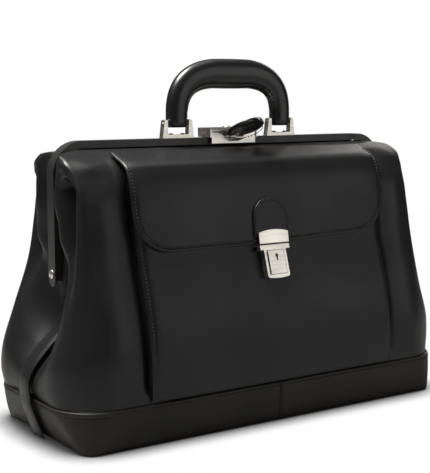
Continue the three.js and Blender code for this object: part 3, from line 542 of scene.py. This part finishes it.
def cloth_material():
    """Woven lining: two sets of threads, slightly uneven, with a soft sheen."""
    n = Nodes("lining_weave")
    waves = []
    for axis in ("X", "Z"):
        wave = n.add("ShaderNodeTexWave", {"Vector": n.place, "Scale": 250.0, "Distortion": 0.6},
                     wave_type="BANDS", bands_direction=axis)
        waves.append(wave.outputs["Fac"])
    weave = n.add("ShaderNodeMath", {0: waves[0], 1: waves[1]}, operation="MAXIMUM").outputs[0]
    tone = n.noise(25, 3)
    shade = n.add("ShaderNodeMath", {0: weave, 1: tone}, operation="MULTIPLY").outputs[0]
    return n.set(
        color=n.colours(shade, (0.018, 0.015, 0.013), (0.05, 0.043, 0.037)),
        roughness=n.ramp(weave, 0, 1, 0.9, 0.75),
        specular=0.2,
        sheen=0.25,
        sheen_roughness=0.5,
        normal=n.bump(weave, 0.2 * MM, 0.6),
    )


def board_material():
    """Pressed fibre board."""
    n = Nodes("fibre_board")
    fibres = n.noise(160, 6, n.stretch((0.25, 1, 1)))
    return n.set(
        color=n.colours(fibres, (0.05, 0.038, 0.027), (0.13, 0.1, 0.075)),
        roughness=n.ramp(fibres, 0.2, 0.8, 0.8, 0.95),
        specular=0.2,
        normal=n.bump(fibres, 0.15 * MM, 0.5),
    )


SHADOW_REACH = 0.035  # metres
SHADOW_TONE = 0.03


def floor_material():
    """A pale grey floor to the lights, which the camera sees as plain white, with a painted contact shadow
    close round the foot.

    The white and the painted shadow round the foot are emission, by the ray's kind and by ambient occlusion.
    """
    n = Nodes("studio_floor")
    n.set(color=n.colours(n.noise(3, 2), (0.27, 0.27, 0.27), (0.29, 0.29, 0.29)), roughness=0.9, specular=0.0)
    openness = n.add("ShaderNodeAmbientOcclusion", {"Distance": SHADOW_REACH}, samples=12).outputs["AO"]
    # painted contact shadow: the white emission is dimmed where ambient occlusion finds the bag close by
    painted_shadow_glow = n.ramp(openness, 0.4, 0.9, SHADOW_TONE, 1)
    white = n.add("ShaderNodeEmission", {"Strength": painted_shadow_glow}).outputs["Emission"]
    seen = n.add("ShaderNodeLightPath").outputs["Is Camera Ray"]
    both = n.add("ShaderNodeMixShader", {0: seen, 1: n.shader.outputs["BSDF"], 2: white}).outputs[0]
    n.tree.links.new(both, n.tree.nodes["Material Output"].inputs["Surface"])
    return n.material


LEATHER_BLACK = leather_material(
    "leather_black", (0.0075, 0.0075, 0.008), (0.0135, 0.0130, 0.0130), roughness=0.37, specular=0.36)
LEATHER_BAND = leather_material(
    "leather_band", (0.0105, 0.0092, 0.0082), (0.0185, 0.0160, 0.0142), roughness=0.48, specular=0.30)
LEATHER_HANDLE = leather_material(
    "leather_handle", (0.0065, 0.0065, 0.0070), (0.0115, 0.0112, 0.0112), roughness=0.30, specular=0.62)
EDGE = edge_material()
THREAD = thread_material()
NICKEL = nickel_material("satin_nickel", (0.97, 0.92, 0.85), 0.29)
# a darker copy of the satin nickel, for the latch cover
COVER_NICKEL = nickel_material("darker_nickel", (0.84, 0.79, 0.73), 0.32)
FRAME_COAT = frame_material()
STEEL = steel_material()
CLOTH = cloth_material()
BOARD = board_material()


# ---------- the leather body ----------


def outline(row, s):
    """Half outline of the bag at one level, from the middle of the left end to the middle of the front."""
    _, length, depth, corner, waist = row
    along = (s - CORNER_SHARE) / (1 - CORNER_SHARE)
    turn = np.clip((s - END_SHARE) / (CORNER_SHARE - END_SHARE), 0, 1) * np.pi / 2
    y = -np.clip(s / END_SHARE, 0, 1) * (depth - corner) - corner * np.sin(turn)
    hollow = (length - waist) * (1 - smooth(-y, STRAP_SHOWN, 0.85 * depth))
    end_x = -length + corner * (1 - np.cos(turn)) + hollow
    x = np.where(s >= CORNER_SHARE, lerp(corner - length, 0, along), end_x)
    return x, np.minimum(y, -SEAM_GAP)


def hang_line(s):
    """The line inside the frame at share s: up the arm, round the corner and along the bar."""
    arm = HANG_TOP - HANG_CORNER - HANG_FOOT
    climb = np.clip((s - SEAM_SHARE) / (ARM_SHARE - SEAM_SHARE), 0, 1)
    turn = np.clip((s - ARM_SHARE) / (CORNER_SHARE - ARM_SHARE), 0, 1) * np.pi / 2
    along = np.clip((s - CORNER_SHARE) / (1 - CORNER_SHARE), 0, 1)
    x = (-HANG_END + HANG_CORNER * (1 - np.cos(turn))) * (1 - along)
    y = -lerp(SEAM_GAP, HANG_DEPTH, np.minimum(1, s / SEAM_SHARE))
    return np.stack([x, y, HANG_FOOT + arm * climb + HANG_CORNER * np.sin(turn)], axis=-1)


def risers(s, count, rows=FRONT_ROWS):
    """Curves up the leather at shares s: (len(s), count, 3)."""
    hang = hang_line(s)
    points = []
    for row in rows:
        x, y = outline(row, s)
        z = BODY_FOOT + (row[0] - BODY_FOOT) * (hang[:, 2] - BODY_FOOT) / (HANG_TOP - BODY_FOOT)
        points.append(np.stack([x, y, z], axis=-1))
    return catmull_rom(np.stack([*points, hang], axis=1), count)


# How far each fold of the leather stands out at its strongest, or goes in where it is negative
CREASE, ROLL, SHOULDER, END_SLACK = -20, 5, 3, 3
BELLY, GROOVE, DOME, PLEAT = 5, -5, 5, -1.5
UNEVENNESS = 0.9

# The crease of an end: heights up it, and its distance from the middle of the end at each
CREASE_HEIGHTS = (60, 120, 176, 215, 250)
CREASE_PLACES = (62, 55, 47, 42.5, 38)
CREASE_TOP = 254


def end_relief(y, z, side):
    """How far the end leather stands out: a deep crease behind each ridge, and a soft roll beside the arm."""
    crease_y = np.interp(z, CREASE_HEIGHTS, CREASE_PLACES) + 1.5 * side
    width = np.interp(z, (150, 250), (10, 8.5))
    arch = CREASE_TOP - 4 * ((y - crease_y) / width) ** 2
    crease = CREASE * hump(y, crease_y, width) * smooth(z, 110, 205) * (1 - smooth(z, arch - 10, arch))
    roll = ROLL * hump(y, middle=19, width=7) * smooth(z, 180, 225)
    shoulder = SHOULDER * hump(y, middle=32, width=14) * hump(z, middle=264, width=7)
    slack = END_SLACK * hump(y, middle=34, width=16) * hump(z, middle=105 + 6 * side, width=26)
    return crease + roll + shoulder + slack


def front_relief(x, z, side, pocket):
    """How far a long face stands out towards the ends, and how a pocket, where it has one, draws it in."""
    high = 1 - smooth(z, 222, 262)
    belly = BELLY * hump(x, middle=178, width=20) * smooth(z, 44, 100) * high
    pocket_high = smooth(z, 43, 60) * (1 - smooth(z, 240, 262))
    groove = GROOVE * hump(x, middle=POCKET_HALF_WIDTH - 1, width=5) * pocket_high
    dome = DOME * hump(x, middle=188, width=13) * hump(z, middle=262, width=9)
    pleat = PLEAT * hump(x, middle=164 + 1.5 * side, width=6) * hump(z, middle=256, width=12)
    return belly + dome + (groove + pleat if pocket else 0)


def relieved(grid, pocket):
    """The body's grid with its folds, rolls and slack, and nothing moved at its held edges."""
    normal = grid_normals(grid)
    x, y, z = (grid[..., k] for k in range(3))
    side = np.sign(x)
    v = np.linspace(0, 1, grid.shape[1])[None, :]
    held = smooth(v, 0, 0.1) * (1 - smooth(v, 0.9, 1))
    clear_of_strap = smooth(np.abs(y), STRAP_HALF_WIDTH, STRAP_HALF_WIDTH + 10)
    push_x = end_relief(np.abs(y), z, side) * np.abs(normal[..., 0]) * held * clear_of_strap
    push_y = front_relief(np.abs(x), z, side, pocket) * np.abs(normal[..., 1]) * held
    slack = UNEVENNESS * ripple(x + y * 2, z, 1.0) * held * clear_of_strap
    out = np.stack([side * push_x, np.sign(y) * push_y, 0 * z], axis=-1)
    moved = grid + out + normal * slack[..., None] * np.where((normal * grid).sum(-1) > 0, 1, -1)[..., None]
    moved[..., 1] = np.minimum(moved[..., 1], -SEAM_GAP)
    return moved


def mirrored(half):
    """A grid over the left half made whole: its mirror image goes on the right."""
    other = half[::-1][1:] * np.array([-1, 1, 1])
    return np.concatenate([half, other])


# Where the leather is drawn: shares of the half outline, and points from its foot to the frame
BODY_SHARES = np.concatenate([
    np.linspace(0, END_SHARE, 34, endpoint=False),
    np.linspace(END_SHARE, CORNER_SHARE, 46, endpoint=False),
    np.linspace(CORNER_SHARE, 1, 70),
])
BODY_COUNT = 110


def body_grid(rows, pocket):
    """Outer grid of one leather on the front side, from end seam to end seam, bottom to top."""
    return with_seam_line(relieved(mirrored(risers(BODY_SHARES, BODY_COUNT, rows)), pocket))


def with_seam_line(grid, depth=0.7, width=1.1, inset=5.5):
    """A pressed line along the frame, a little inside the held edge."""
    steps = np.linalg.norm(np.diff(grid, axis=1), axis=-1)
    walked = np.concatenate([np.zeros((len(grid), 1)), np.cumsum(steps, axis=1)], axis=1)
    from_top = walked[:, -1:] - walked
    line = depth * hump(from_top, inset, width)
    normal = outward_normals(grid)
    return grid - normal * line[..., None]


BAG_MIDDLE = np.array([0, 0, 150])


def outward_normals(grid):
    """Grid normals turned away from the middle of the bag."""
    normal = grid_normals(grid)
    facing = ((grid - BAG_MIDDLE) * normal).sum(-1)
    return normal * (1 if facing.mean() > 0 else -1)


def body_shell(name, grid):
    """A leather shell from its outer grid."""
    normal = outward_normals(grid)
    inside = grid - normal * LEATHER
    limit = -SEAM_GAP if grid[..., 1].mean() < 0 else SEAM_GAP
    inside[..., 1] = np.minimum(inside[..., 1], limit) if limit < 0 else np.maximum(inside[..., 1], limit)
    points, faces, _ = sheet_mesh(grid, inside)
    return mesh_object(name, points, faces, [LEATHER_BLACK])


def make_body():
    """The front leather, fixed, and the back leather, baked where it stands."""
    front_grid = body_grid(FRONT_ROWS, pocket=True)
    front = body_shell("body_leather_front", front_grid)
    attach(front, "root")
    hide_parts("body_front")
    back_grid = body_grid(BACK_ROWS, pocket=False) * np.array([1, -1, 1])
    back = body_shell("body_leather_back", back_grid)
    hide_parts("body_back")
    bend_with_jaw(back)
    return front_grid, back_grid


def bend_with_jaw(piece):
    """Bakes a piece's placement into its mesh, where it stands."""
    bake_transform(piece)


# Level curves of the pouch's foot, as the rows above
LINING_FEET = ((7, 208, 78, 26, 208), (10, 211, 80, 28, 211), (30, 214, 84, 36, 214))


def lining_wall(grid, side):
    """One half of the pouch: inside the leather, and down inside the base to the board."""
    wall = grid - outward_normals(grid) * (LEATHER + LINING_GAP)
    wall[..., 1] = side * np.maximum(side * wall[..., 1], SEAM_GAP)
    wall = wall[::3, ::3][:, :-1]
    feet = []
    for row in LINING_FEET:
        x, y = outline(row, BODY_SHARES)
        half = np.stack([x, -side * y, np.full_like(x, row[0])], axis=-1)[:, None]
        feet.append(mirrored(half)[::3])
    return np.concatenate([*feet, wall], axis=1)


def make_lining(front_grid, back_grid):
    """The cloth pouch inside: it stands on the board and hangs from the frame with the leather."""
    ring = np.concatenate([lining_wall(front_grid, -1), lining_wall(back_grid, 1)[::-1]])
    rings = np.swapaxes(ring, 0, 1)
    inner = rings * np.array([0.992, 0.985, 1.0])
    inner[0, :, 2] += LINING_THICKNESS
    n, m = rings.shape[:2]
    floor = rings[0].mean(0)
    middles = [floor, floor + [0, 0, LINING_THICKNESS]]
    points = np.concatenate([rings.reshape(-1, 3), inner.reshape(-1, 3), middles])
    far = n * m
    faces = grid_faces(n, m, closed=True) + grid_faces(n, m, start=far, closed=True, flip=True)
    top = (n - 1) * m
    for j in range(m):
        k = (j + 1) % m
        faces.append((top + j, top + k, far + top + k, far + top + j))
        faces.append((2 * far, k, j))
        faces.append((2 * far + 1, far + j, far + k))
    lining = mesh_object("lining_cloth", points, faces, [CLOTH])
    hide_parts("lining")
    bend_with_jaw(lining)


# ---------- pocket, flap and tab ----------

FRONT_CURVE = risers(np.array([1.0]), 900)[0]


def on_front(x, height, offset):
    """Points that stand off the front of the body at x and a height along its slope."""
    slope = np.gradient(FRONT_CURVE, axis=0)
    normal = np.stack([0 * slope[:, 0], -slope[:, 2], slope[:, 1]], axis=-1)
    normal /= np.linalg.norm(normal, axis=1, keepdims=True)
    at = [np.interp(height, FRONT_CURVE[:, 2], FRONT_CURVE[:, k]) for k in (1, 2)]
    n = [np.interp(height, FRONT_CURVE[:, 2], normal[:, k]) for k in (1, 2)]
    return np.stack([x, at[0] + n[0] * offset, at[1] + n[1] * offset], axis=-1)


def pocket_offset(x, height):
    across = 1 - np.abs(x / POCKET_HALF_WIDTH) ** 60
    up = smooth(height, BAND_HEIGHT - 10, BAND_HEIGHT + 80)
    return POCKET_LIP + (POCKET_RISE - POCKET_LIP) * across * up


def flap_offset(x, height):
    across = 1 - 0.25 * np.abs(x / FLAP_HALF_WIDTH) ** 20
    down = 1 - smooth(height, POCKET_TOP + 2, FLAP_FOLD)
    return 0.8 + (POCKET_RISE - 0.5) * across * down + 1.2 * down


def pressed(grid, path, depth=PRESS_DEPTH, width=PRESS_WIDTH):
    """A grid with a line pressed into it along a path, which is worked through in short stretches."""
    near = np.full(grid.shape[:2], np.inf)
    for start in range(0, len(path), 8):
        chunk = path[start:start + 8]
        gap = np.linalg.norm(grid[:, :, None] - chunk[None, None], axis=-1).min(-1)
        near = np.minimum(near, gap)
    return grid - outward_normals(grid) * (depth * hump(near, 0, width))[..., None]


def make_pocket():
    """The pocket: a panel that stands off the body, stitched down at both sides."""
    u = spaced(150, low=-1, high=1)
    v = spaced(90)
    x, height = np.meshgrid(u * POCKET_HALF_WIDTH, lerp(BAND_HEIGHT + 2.5, POCKET_TOP, v), indexing="ij")
    grid = on_front(x, height, pocket_offset(x, height) + 0.5 * ripple(x, height, 2.3))
    lines = []
    for side in (-1, 1):
        z = np.linspace(BAND_HEIGHT + 4, POCKET_TOP - 8, 160)
        edge = np.full_like(z, side * (POCKET_HALF_WIDTH - STITCH_MARGIN))
        lines.append(on_front(edge, z, pocket_offset(edge, z)))
    for line in lines:
        grid = pressed(grid, line)
    pocket = leather_sheet("pocket_leather", grid, POCKET_THICKNESS, LEATHER_BLACK)
    forward = np.array([[0, -1, 0.12]] * len(lines[0]))
    add_stitches(pocket, [(line, forward) for line in lines])
    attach(pocket, "root")
    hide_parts("pocket_panel")


def flap_width_at(v):
    """Height and half width of the flap from its rounded lower corners to the fold."""
    bend = 0.35
    turn = np.clip(v / bend, 0, 1) * np.pi / 2
    low = FLAP_EDGE + FLAP_CORNER * (1 - np.cos(turn))
    high = lerp(FLAP_EDGE + FLAP_CORNER, FLAP_FOLD, (v - bend) / (1 - bend))
    width = np.where(v < bend, FLAP_HALF_WIDTH - FLAP_CORNER * (1 - np.sin(turn)), FLAP_HALF_WIDTH)
    return np.where(v < bend, low, high), width


def flap_face(u, v, lift, margin=0):
    """A point on the flap, which can be a margin inside its edge."""
    height, width = flap_width_at(v)
    x = u * (width - margin)
    low = 1 - smooth(height, FLAP_EDGE, FLAP_EDGE + FLAP_CORNER)
    height = height + margin * low + FLAP_TILT * np.maximum(x, 0) * (1 - smooth(height, FLAP_EDGE, FLAP_FOLD))
    return on_front(x, height, flap_offset(x, height) + lift)


def make_flap():
    """The flap over the pocket, stitched along its edge; it bends where it is sewn under the frame."""
    u, v = np.meshgrid(spaced(150, low=-1, high=1), spaced(110), indexing="ij")
    grid = flap_face(u, v, FLAP_THICKNESS)
    grid[..., 1] -= 0.35 * ripple(grid[..., 0], grid[..., 2], 4.1)
    t = np.linspace(0, 0.93, 120)
    side = [flap_face(np.full_like(t, k), t, FLAP_THICKNESS, STITCH_MARGIN) for k in (-1.0, 1.0)]
    foot = flap_face(np.linspace(-1, 1, 120), np.zeros(120), FLAP_THICKNESS, STITCH_MARGIN)
    line = np.concatenate([side[0][::-1], foot[1:-1], side[1]])
    grid = pressed(grid, line)
    flap = leather_sheet("flap_leather", grid, FLAP_THICKNESS, LEATHER_BLACK)
    add_stitches(flap, [on_grid(line, grid)])
    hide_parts("pocket_flap")
    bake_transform(flap)


def make_tab():
    """The round-topped tab on the flap that carries the lock's upper plate."""
    foot, shoulder, bend, short_of_top = FLAP_EDGE + 7, 203, 0.4, 0.97

    def face(u, v, margin=0):
        half = TAB_HALF_WIDTH - margin
        angle = np.clip((v - bend) / (1 - bend), 0, 1) * np.pi / 2 * short_of_top
        height = np.where(v < bend, lerp(foot, shoulder, v / bend), shoulder + half * np.sin(angle))
        lift = flap_offset(0, height) + FLAP_THICKNESS + GAP + TAB_THICKNESS
        return on_front(u * half * np.cos(angle), height, lift)

    u, v = np.meshgrid(spaced(50, low=-1, high=1), spaced(60), indexing="ij")
    grid = face(u, v)
    t = np.linspace(0.05, 1, 70)
    halves = [face(np.full_like(t, k), t, margin=2.6) for k in (-1.0, 1.0)]
    line = np.concatenate([halves[0], halves[1][::-1]])
    grid = pressed(grid, line, depth=0.35, width=0.6)
    tab = leather_sheet("tab_leather", grid, TAB_THICKNESS, LEATHER_BLACK)
    add_stitches(tab, [on_grid(line, grid)])
    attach(tab, "flap")
    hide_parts("lock_tab")


# ---------- the base and the end straps ----------


def rounded_ring(half_length, half_depth, corner, z, side_count=60, end_count=26, corner_count=16):
    """A rounded rectangle as a ring at one height; its points crowd at the middle of the long sides."""
    a, b = half_length - corner, half_depth - corner
    angle = np.linspace(0, np.pi / 2, corner_count)[1:-1]
    first = np.concatenate([
        np.stack([np.full(end_count, half_length), np.linspace(0, b, end_count)], axis=1),
        np.stack([a + corner * np.cos(angle), b + corner * np.sin(angle)], axis=1),
        np.stack([a * np.linspace(1, 0, side_count) ** 1.6, np.full(side_count, half_depth)], axis=1),
    ])
    second = first[::-1][1:] * [-1, 1]
    third = first[1:] * [-1, -1]
    fourth = first[::-1][1:-1] * [1, -1]
    ring = np.concatenate([first, second, third, fourth])
    return np.column_stack([ring, np.full(len(ring), z)])


def band_ring(t, grow, z):
    """The band's outline, t of the way from the floor to its top edge and standing out by grow."""
    length = BASE_HALF_LENGTH - 2 + BAND_FLARE * t + grow
    return rounded_ring(length, BASE_HALF_DEPTH + 1 + 3 * t + grow, lerp(15, 46, t) + grow, z)


def band_rings(line_at=0.9):
    """The tray's rings, up outside with a pressed line, over the rolled edge and down inside."""
    wall = [band_ring(0, -4.5, 0), band_ring(0, -2.2, 0.3), band_ring(0, -0.6, 1.4), band_ring(0, 0, 3)]
    for t in np.linspace(0.08, 0.95, 26):
        swell = 0.9 * math.sin(math.pi * t)
        press = 0.8 * float(hump(t, line_at, 0.02))
        wall.append(band_ring(t, swell - press, lerp(3, BAND_HEIGHT, t)))
    top = [(0, 1.1), (-0.4, 0.35), (-1.2, 0), (-2.2, 0.3), (-3, 1)]
    rings = np.stack([
        *wall,
        *(band_ring(1, grow, BAND_HEIGHT - drop) for grow, drop in top),
        band_ring(0, -3, 3),
    ])
    outer = np.arange(len(rings))[:, None] < len(wall) + 1
    return rings, outer


def seamed_and_uneven(rings, outer):
    """The tray's rings with the upright seam in the middle of the front, and a calm unevenness."""
    x, y, z = (rings[..., k] for k in range(3))
    seam = 1.3 * hump(x, 1.5, 0.9) - 0.8 * smooth(x, 1.5, 2.2) * hump(x, 2.2, 7)
    rings[..., 1] += np.where(outer & (y < 0), seam * smooth(z, 0, 4), 0)
    outward = rings - np.array([0, 0, 1]) * z[..., None]
    outward /= np.linalg.norm(outward, axis=-1, keepdims=True)
    rings += outward * (0.35 * ripple(x * 1.4, z * 3 + y, 5.0) * outer * smooth(z, 3, 12))[..., None]
    return rings


def make_band():
    """The leather tray of the base; its wall is the band round the foot, stitched along its top edge."""
    band = ring_mesh("band_leather", seamed_and_uneven(*band_rings()), [LEATHER_BAND])
    line = band_ring(0.9, 0.1, BAND_HEIGHT - 3.8)
    line = np.concatenate([line, line[:1]])
    level = line * [1, 1, 0]
    normals = level - np.clip(level, [-187, -49, 0], [187, 49, 0])
    normals /= np.linalg.norm(normals, axis=1, keepdims=True)
    add_stitches(band, [(line, normals)])
    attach(band, "root")
    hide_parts("base_band")


STRAP_CLEAR = 1.6
STRAP_THICKNESS = 2
STRAP_TOP = 0.66  # share of the end seam's length
STRAP_STITCHES = 0.76  # share of the half width
STRAP_SMOOTHING = 30


def strap_line():
    """The left strap's middle line, up the band and the end seam, with its outward directions."""
    seam = risers(np.array([0.0]), 400)[0]
    low = -BASE_HALF_LENGTH + 2
    foot_x, foot_z = np.linspace(low, low - BAND_FLARE, 60), np.linspace(2, BAND_HEIGHT, 60)
    foot = np.stack([foot_x, np.zeros(60), foot_z], axis=1)
    route = np.concatenate([foot[:-1], seam[: int(400 * STRAP_TOP)]])
    walked = distance_along(route)
    line = points_at(route, walked, np.linspace(0, walked[-1], 130))
    for _ in range(STRAP_SMOOTHING):
        line[1:-1] = (line[:-2] + 2 * line[1:-1] + line[2:]) / 4
    along = np.gradient(line, axis=0)
    along /= np.linalg.norm(along, axis=1, keepdims=True)
    return line, np.stack([-along[:, 2], 0 * along[:, 0], along[:, 0]], axis=1)


def make_strap(side):
    """The strap up the middle of an end, over the band, the seam and into the hollow."""
    where = "left" if side < 0 else "right"
    line, out = strap_line()
    u = spaced(26, low=-1, high=1)
    crown = 0.5 * (1 - u**2)
    grooves = -0.6 * (hump(np.abs(u), STRAP_STITCHES, 0.06))
    lift = STRAP_CLEAR + STRAP_THICKNESS
    grid = (line + out * lift)[None] + (u * STRAP_SHOWN)[:, None, None] * np.array([0, 1, 0])
    grid = grid + out[None] * (crown + grooves)[:, None, None]
    if side > 0:
        grid = grid * np.array([-1, 1, 1])
        out = out * np.array([-1, 1, 1])
    strap = leather_sheet(f"strap_leather_{where}", grid, STRAP_THICKNESS, LEATHER_BLACK)
    paths = []
    for edge in (-STRAP_STITCHES, STRAP_STITCHES):
        lifted = line * [-side, 1, 1] + out * lift + np.array([0, edge * STRAP_SHOWN, 0])
        paths.append((lifted[4:-4], out[4:-4]))
    add_stitches(strap, paths)
    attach(strap, "root")
    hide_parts(f"end_strap_{where}")


# ---------- handle and pull tab ----------


def handle_line(count):
    """Middle line of the handle from the left end over the top, evenly spaced, with its directions."""
    half, top, knee = HANDLE_HALF_SPAN, HANDLE_TOP - 14, GRIP_FOOT + 14
    pieces = [
        bezier((-half, GRIP_FOOT), (-half, GRIP_FOOT + 5), (-half, GRIP_FOOT + 9), (-half, knee)),
        bezier((-half, knee), (-half, top - 14), (16 - half, top - 2), (-22, top)),
        bezier((-22, top), (-8, top), (8, top), (22, top)),
        bezier((22, top), (half - 16, top - 2), (half, top - 14), (half, knee)),
        bezier((half, knee), (half, GRIP_FOOT + 9), (half, GRIP_FOOT + 5), (half, GRIP_FOOT)),
    ]
    flat = np.concatenate(pieces)
    path = np.column_stack([flat[:, 0], np.full(len(flat), HANDLE_Y), flat[:, 1]])
    walked = distance_along(path)
    centres = points_at(path, walked, np.linspace(0, walked[-1], count))
    along = np.gradient(centres, axis=0)
    along /= np.linalg.norm(along, axis=1, keepdims=True)
    return centres, along


GRIP_END_HEIGHT, GRIP_HEIGHT, GRIP_DEPTH = 23, 28.5, 19
GRIP_STITCH_LIFT = 0.05
GRIP_STITCH_ANGLE = 0.4


def make_grip():
    """The padded leather grip: an oval roll with a stitched lip along its inner side."""
    count, sides = 120, 56
    centres, along = handle_line(count)
    across = np.stack([along[:, 2], 0 * along[:, 0], -along[:, 0]], axis=1)
    t = np.linspace(0, 1, count)
    full = np.sin(np.pi * t) ** 2
    close = smooth(np.minimum(t, 1 - t), 0, 0.02)
    height = lerp(GRIP_END_HEIGHT, GRIP_HEIGHT, full) / 2 * lerp(0.86, 1, close)
    depth = GRIP_DEPTH / 2 * lerp(0.9, 1, full) * lerp(0.86, 1, close)
    rings = swept(centres, across, np.column_stack([height, depth]), sides, power=2.2)
    from_inside = np.abs(np.angle(np.exp(1j * np.linspace(0, 2 * np.pi, sides, endpoint=False))))
    lip = 2.0 * hump(from_inside, middle=0, width=0.17)
    beside = -0.6 * hump(from_inside, middle=0.38, width=0.12)
    shown = smooth(np.minimum(t, 1 - t), 0.04, 0.1)
    rings = rings + across[:, None] * (lip + beside)[None, :, None] * shown[:, None, None]
    grip = ring_mesh("grip_leather", rings, [LEATHER_HANDLE])
    paths = []
    for side in (-1, 1):
        index = int(round(GRIP_STITCH_ANGLE / (2 * np.pi) * sides)) * side % sides
        path = rings[12:-12, index]
        normal = path - centres[12:-12]
        normal /= np.linalg.norm(normal, axis=1, keepdims=True)
        paths.append((path, normal))
    add_stitches(grip, paths, GRIP_STITCH_LIFT)
    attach(grip, "handle")
    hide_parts("handle_grip")


def make_pull_tab():
    """The oval pull tab of the hasp, thick, curled up at its free end and stitched on both faces."""
    half, length, thickness, tilt, curled = 17.5, 46, 3.6, math.radians(17), 4
    side = np.concatenate([
        bezier((7, -1.2), (13, -8), (half + 1.5, -16), (half, -26), 30),
        bezier((half, -26), (half - 1, -length + 6), (9, -length), (0, -length), 30)[1:],
    ])
    v = np.linspace(0, 1, 80)
    reach = -1.2 - (length - 1.2) * np.sin(v * np.pi / 2)
    width = np.interp(-reach, -side[:, 1], side[:, 0])
    u, along = np.meshgrid(spaced(40, low=-1, high=1), reach, indexing="ij")
    crown = 0.5 * smooth(1 - np.abs(u), 0, 0.6)
    curl = curled * (reach / length) ** 2
    flat = np.stack([u * width[None], along, GAP + thickness + crown - 0.5 + curl], axis=-1)
    turn = np.array(Matrix.Rotation(-tilt, 3, "X"))
    origin = np.array([0, -10.8, FRAME_TOP - 3])
    grid = flat @ turn.T + origin
    tab = leather_sheet("pull_tab_leather", grid, thickness, LEATHER_HANDLE)
    keep = slice(6, 76)
    paths = []
    for k in (-1, 1):
        line = np.stack([k * np.maximum(width[keep] - 2.6, 0), reach[keep] + 1.2 * v[keep],
                         GAP + thickness + curl[keep]], axis=-1)
        for level, way in ((-0.3, 1), (-thickness, -1)):
            path = (line + [0, 0, level]) @ turn.T + origin
            normal = np.tile(np.array([0, 0, way]) @ turn.T, (len(path), 1))
            paths.append((path, normal))
    add_stitches(tab, paths)
    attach(tab, "hasp")
    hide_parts("latch_pull_tab")


# ---------- the CAD pieces that stay ----------

METAL = {
    "frame_front": FRAME_COAT,
    "frame_back": FRAME_COAT,
    "handle_core": STEEL,
    "handle_pin_left": STEEL,
    "handle_pin_right": STEEL,
    "lock_key_plug": STEEL,
    "lock_back_plate": STEEL,
    "base_board": BOARD,
    "latch_cover": COVER_NICKEL,
}
SLOTS = {"satin_nickel": "nickel", "darker_nickel": "nickel", "frame_coat": "frame_steel"}
SLOTS |= {"mill_steel": "core_steel", "fibre_board": "board"}
SOFT = {"base_band", "body_front", "body_back", "lining", "end_strap_left", "end_strap_right", "pocket_panel"}
SOFT |= {"pocket_flap", "lock_tab", "handle_grip", "latch_pull_tab"}


def finish_hard_pieces():
    """Materials and softened edges for the CAD pieces that stay."""
    for name, obj in NODES.items():
        if name in SOFT:
            continue
        material = METAL.get(name, NICKEL)
        obj.data.materials.clear()
        obj.data.materials.append(material)
        bevel = obj.modifiers.new("soft_edges", "BEVEL")
        bevel.width = (0.7 if name.startswith("frame_") else 0.35) * MM
        bevel.segments = 2
        bevel.limit_method = "ANGLE"
        bevel.angle_limit = math.radians(35)
        obj.data.polygons.foreach_set("use_smooth", [True] * len(obj.data.polygons))
        weighted = obj.modifiers.new("even_shading", "WEIGHTED_NORMAL")
        weighted.keep_sharp = True


# ---------- studio ----------


def aim(obj, target):
    direction = Vector(target) - obj.location
    obj.rotation_euler = direction.to_track_quat("-Z", "Y").to_euler()


def softbox(name, place, target, size, power, colour=(1, 1, 1)):
    """A rectangular studio light."""
    light = bpy.data.lights.new(name, "AREA")
    light.shape = "RECTANGLE"
    light.size, light.size_y = size
    light.energy = power
    light.color = colour
    obj = bpy.data.objects.new(name, light)
    bpy.context.collection.objects.link(obj)
    obj.location = place
    aim(obj, target)


def make_studio():
    """A white floor and soft lights: places and sizes in metres, power in watts."""
    size = 40
    corners = [(-size, -size, 0), (size, -size, 0), (size, size, 0), (-size, size, 0)]
    floor = mesh_object("studio_floor", np.array(corners) / MM, [(0, 1, 2, 3)], [floor_material()])
    softbox("key", (-0.58, 0.18, 1.75), (-0.1, 0, 0.2), (0.8, 0.8), 72, (1, 0.99, 0.97))
    softbox("top", (0.1, 0.2, 1.9), (0, 0, 0.2), (1.6, 1.2), 8)
    softbox("rim", (1.7, 0.9, 0.8), (0.1, 0, 0.2), (0.8, 1.2), 8, (1, 0.97, 0.93))
    softbox("card", (1.23, -1.88, 0.6), (0, 0, 0.2), (1.7, 1.4), 6.6, (1, 0.99, 0.97))


WORLD_LIGHT = 0.05


def make_surround():
    """A surround that is white to the camera, and gives only a little light."""
    world = bpy.data.worlds.new("studio")
    bpy.context.scene.world = world
    world.use_nodes = True
    tree = world.node_tree
    background = tree.nodes["Background"]
    path = tree.nodes.new("ShaderNodeLightPath")
    strength = tree.nodes.new("ShaderNodeMapRange")
    strength.inputs["To Min"].default_value = WORLD_LIGHT
    strength.inputs["To Max"].default_value = 1.0
    tree.links.new(path.outputs["Is Camera Ray"], strength.inputs["Value"])
    tree.links.new(strength.outputs["Result"], background.inputs["Strength"])
    background.inputs["Color"].default_value = (1, 1, 1, 1)
    bpy.context.scene.view_settings.view_transform = "Standard"


CAMERA_PLACE = (-0.674, -0.970, 0.331)
CAMERA_DIRECTION = (0.5598, 0.8174, -0.1357)


def make_camera():
    """The camera at the viewing angle of the picture."""
    data = bpy.data.cameras.new("camera")
    data.sensor_width = 36
    data.sensor_fit = "AUTO"
    data.lens = 85.6
    data.shift_x = -0.0104
    data.shift_y = 0.0188
    camera = bpy.data.objects.new("camera", data)
    bpy.context.collection.objects.link(camera)
    camera.location = CAMERA_PLACE
    aim(camera, camera.location + Vector(CAMERA_DIRECTION))
    bpy.context.scene.camera = camera


make_camera()
make_studio()
make_surround()
make_lining(*make_body())
make_pocket()
make_flap()
make_tab()
make_band()
for end in (-1, 1):
    make_strap(end)
make_grip()
make_pull_tab()
finish_hard_pieces()
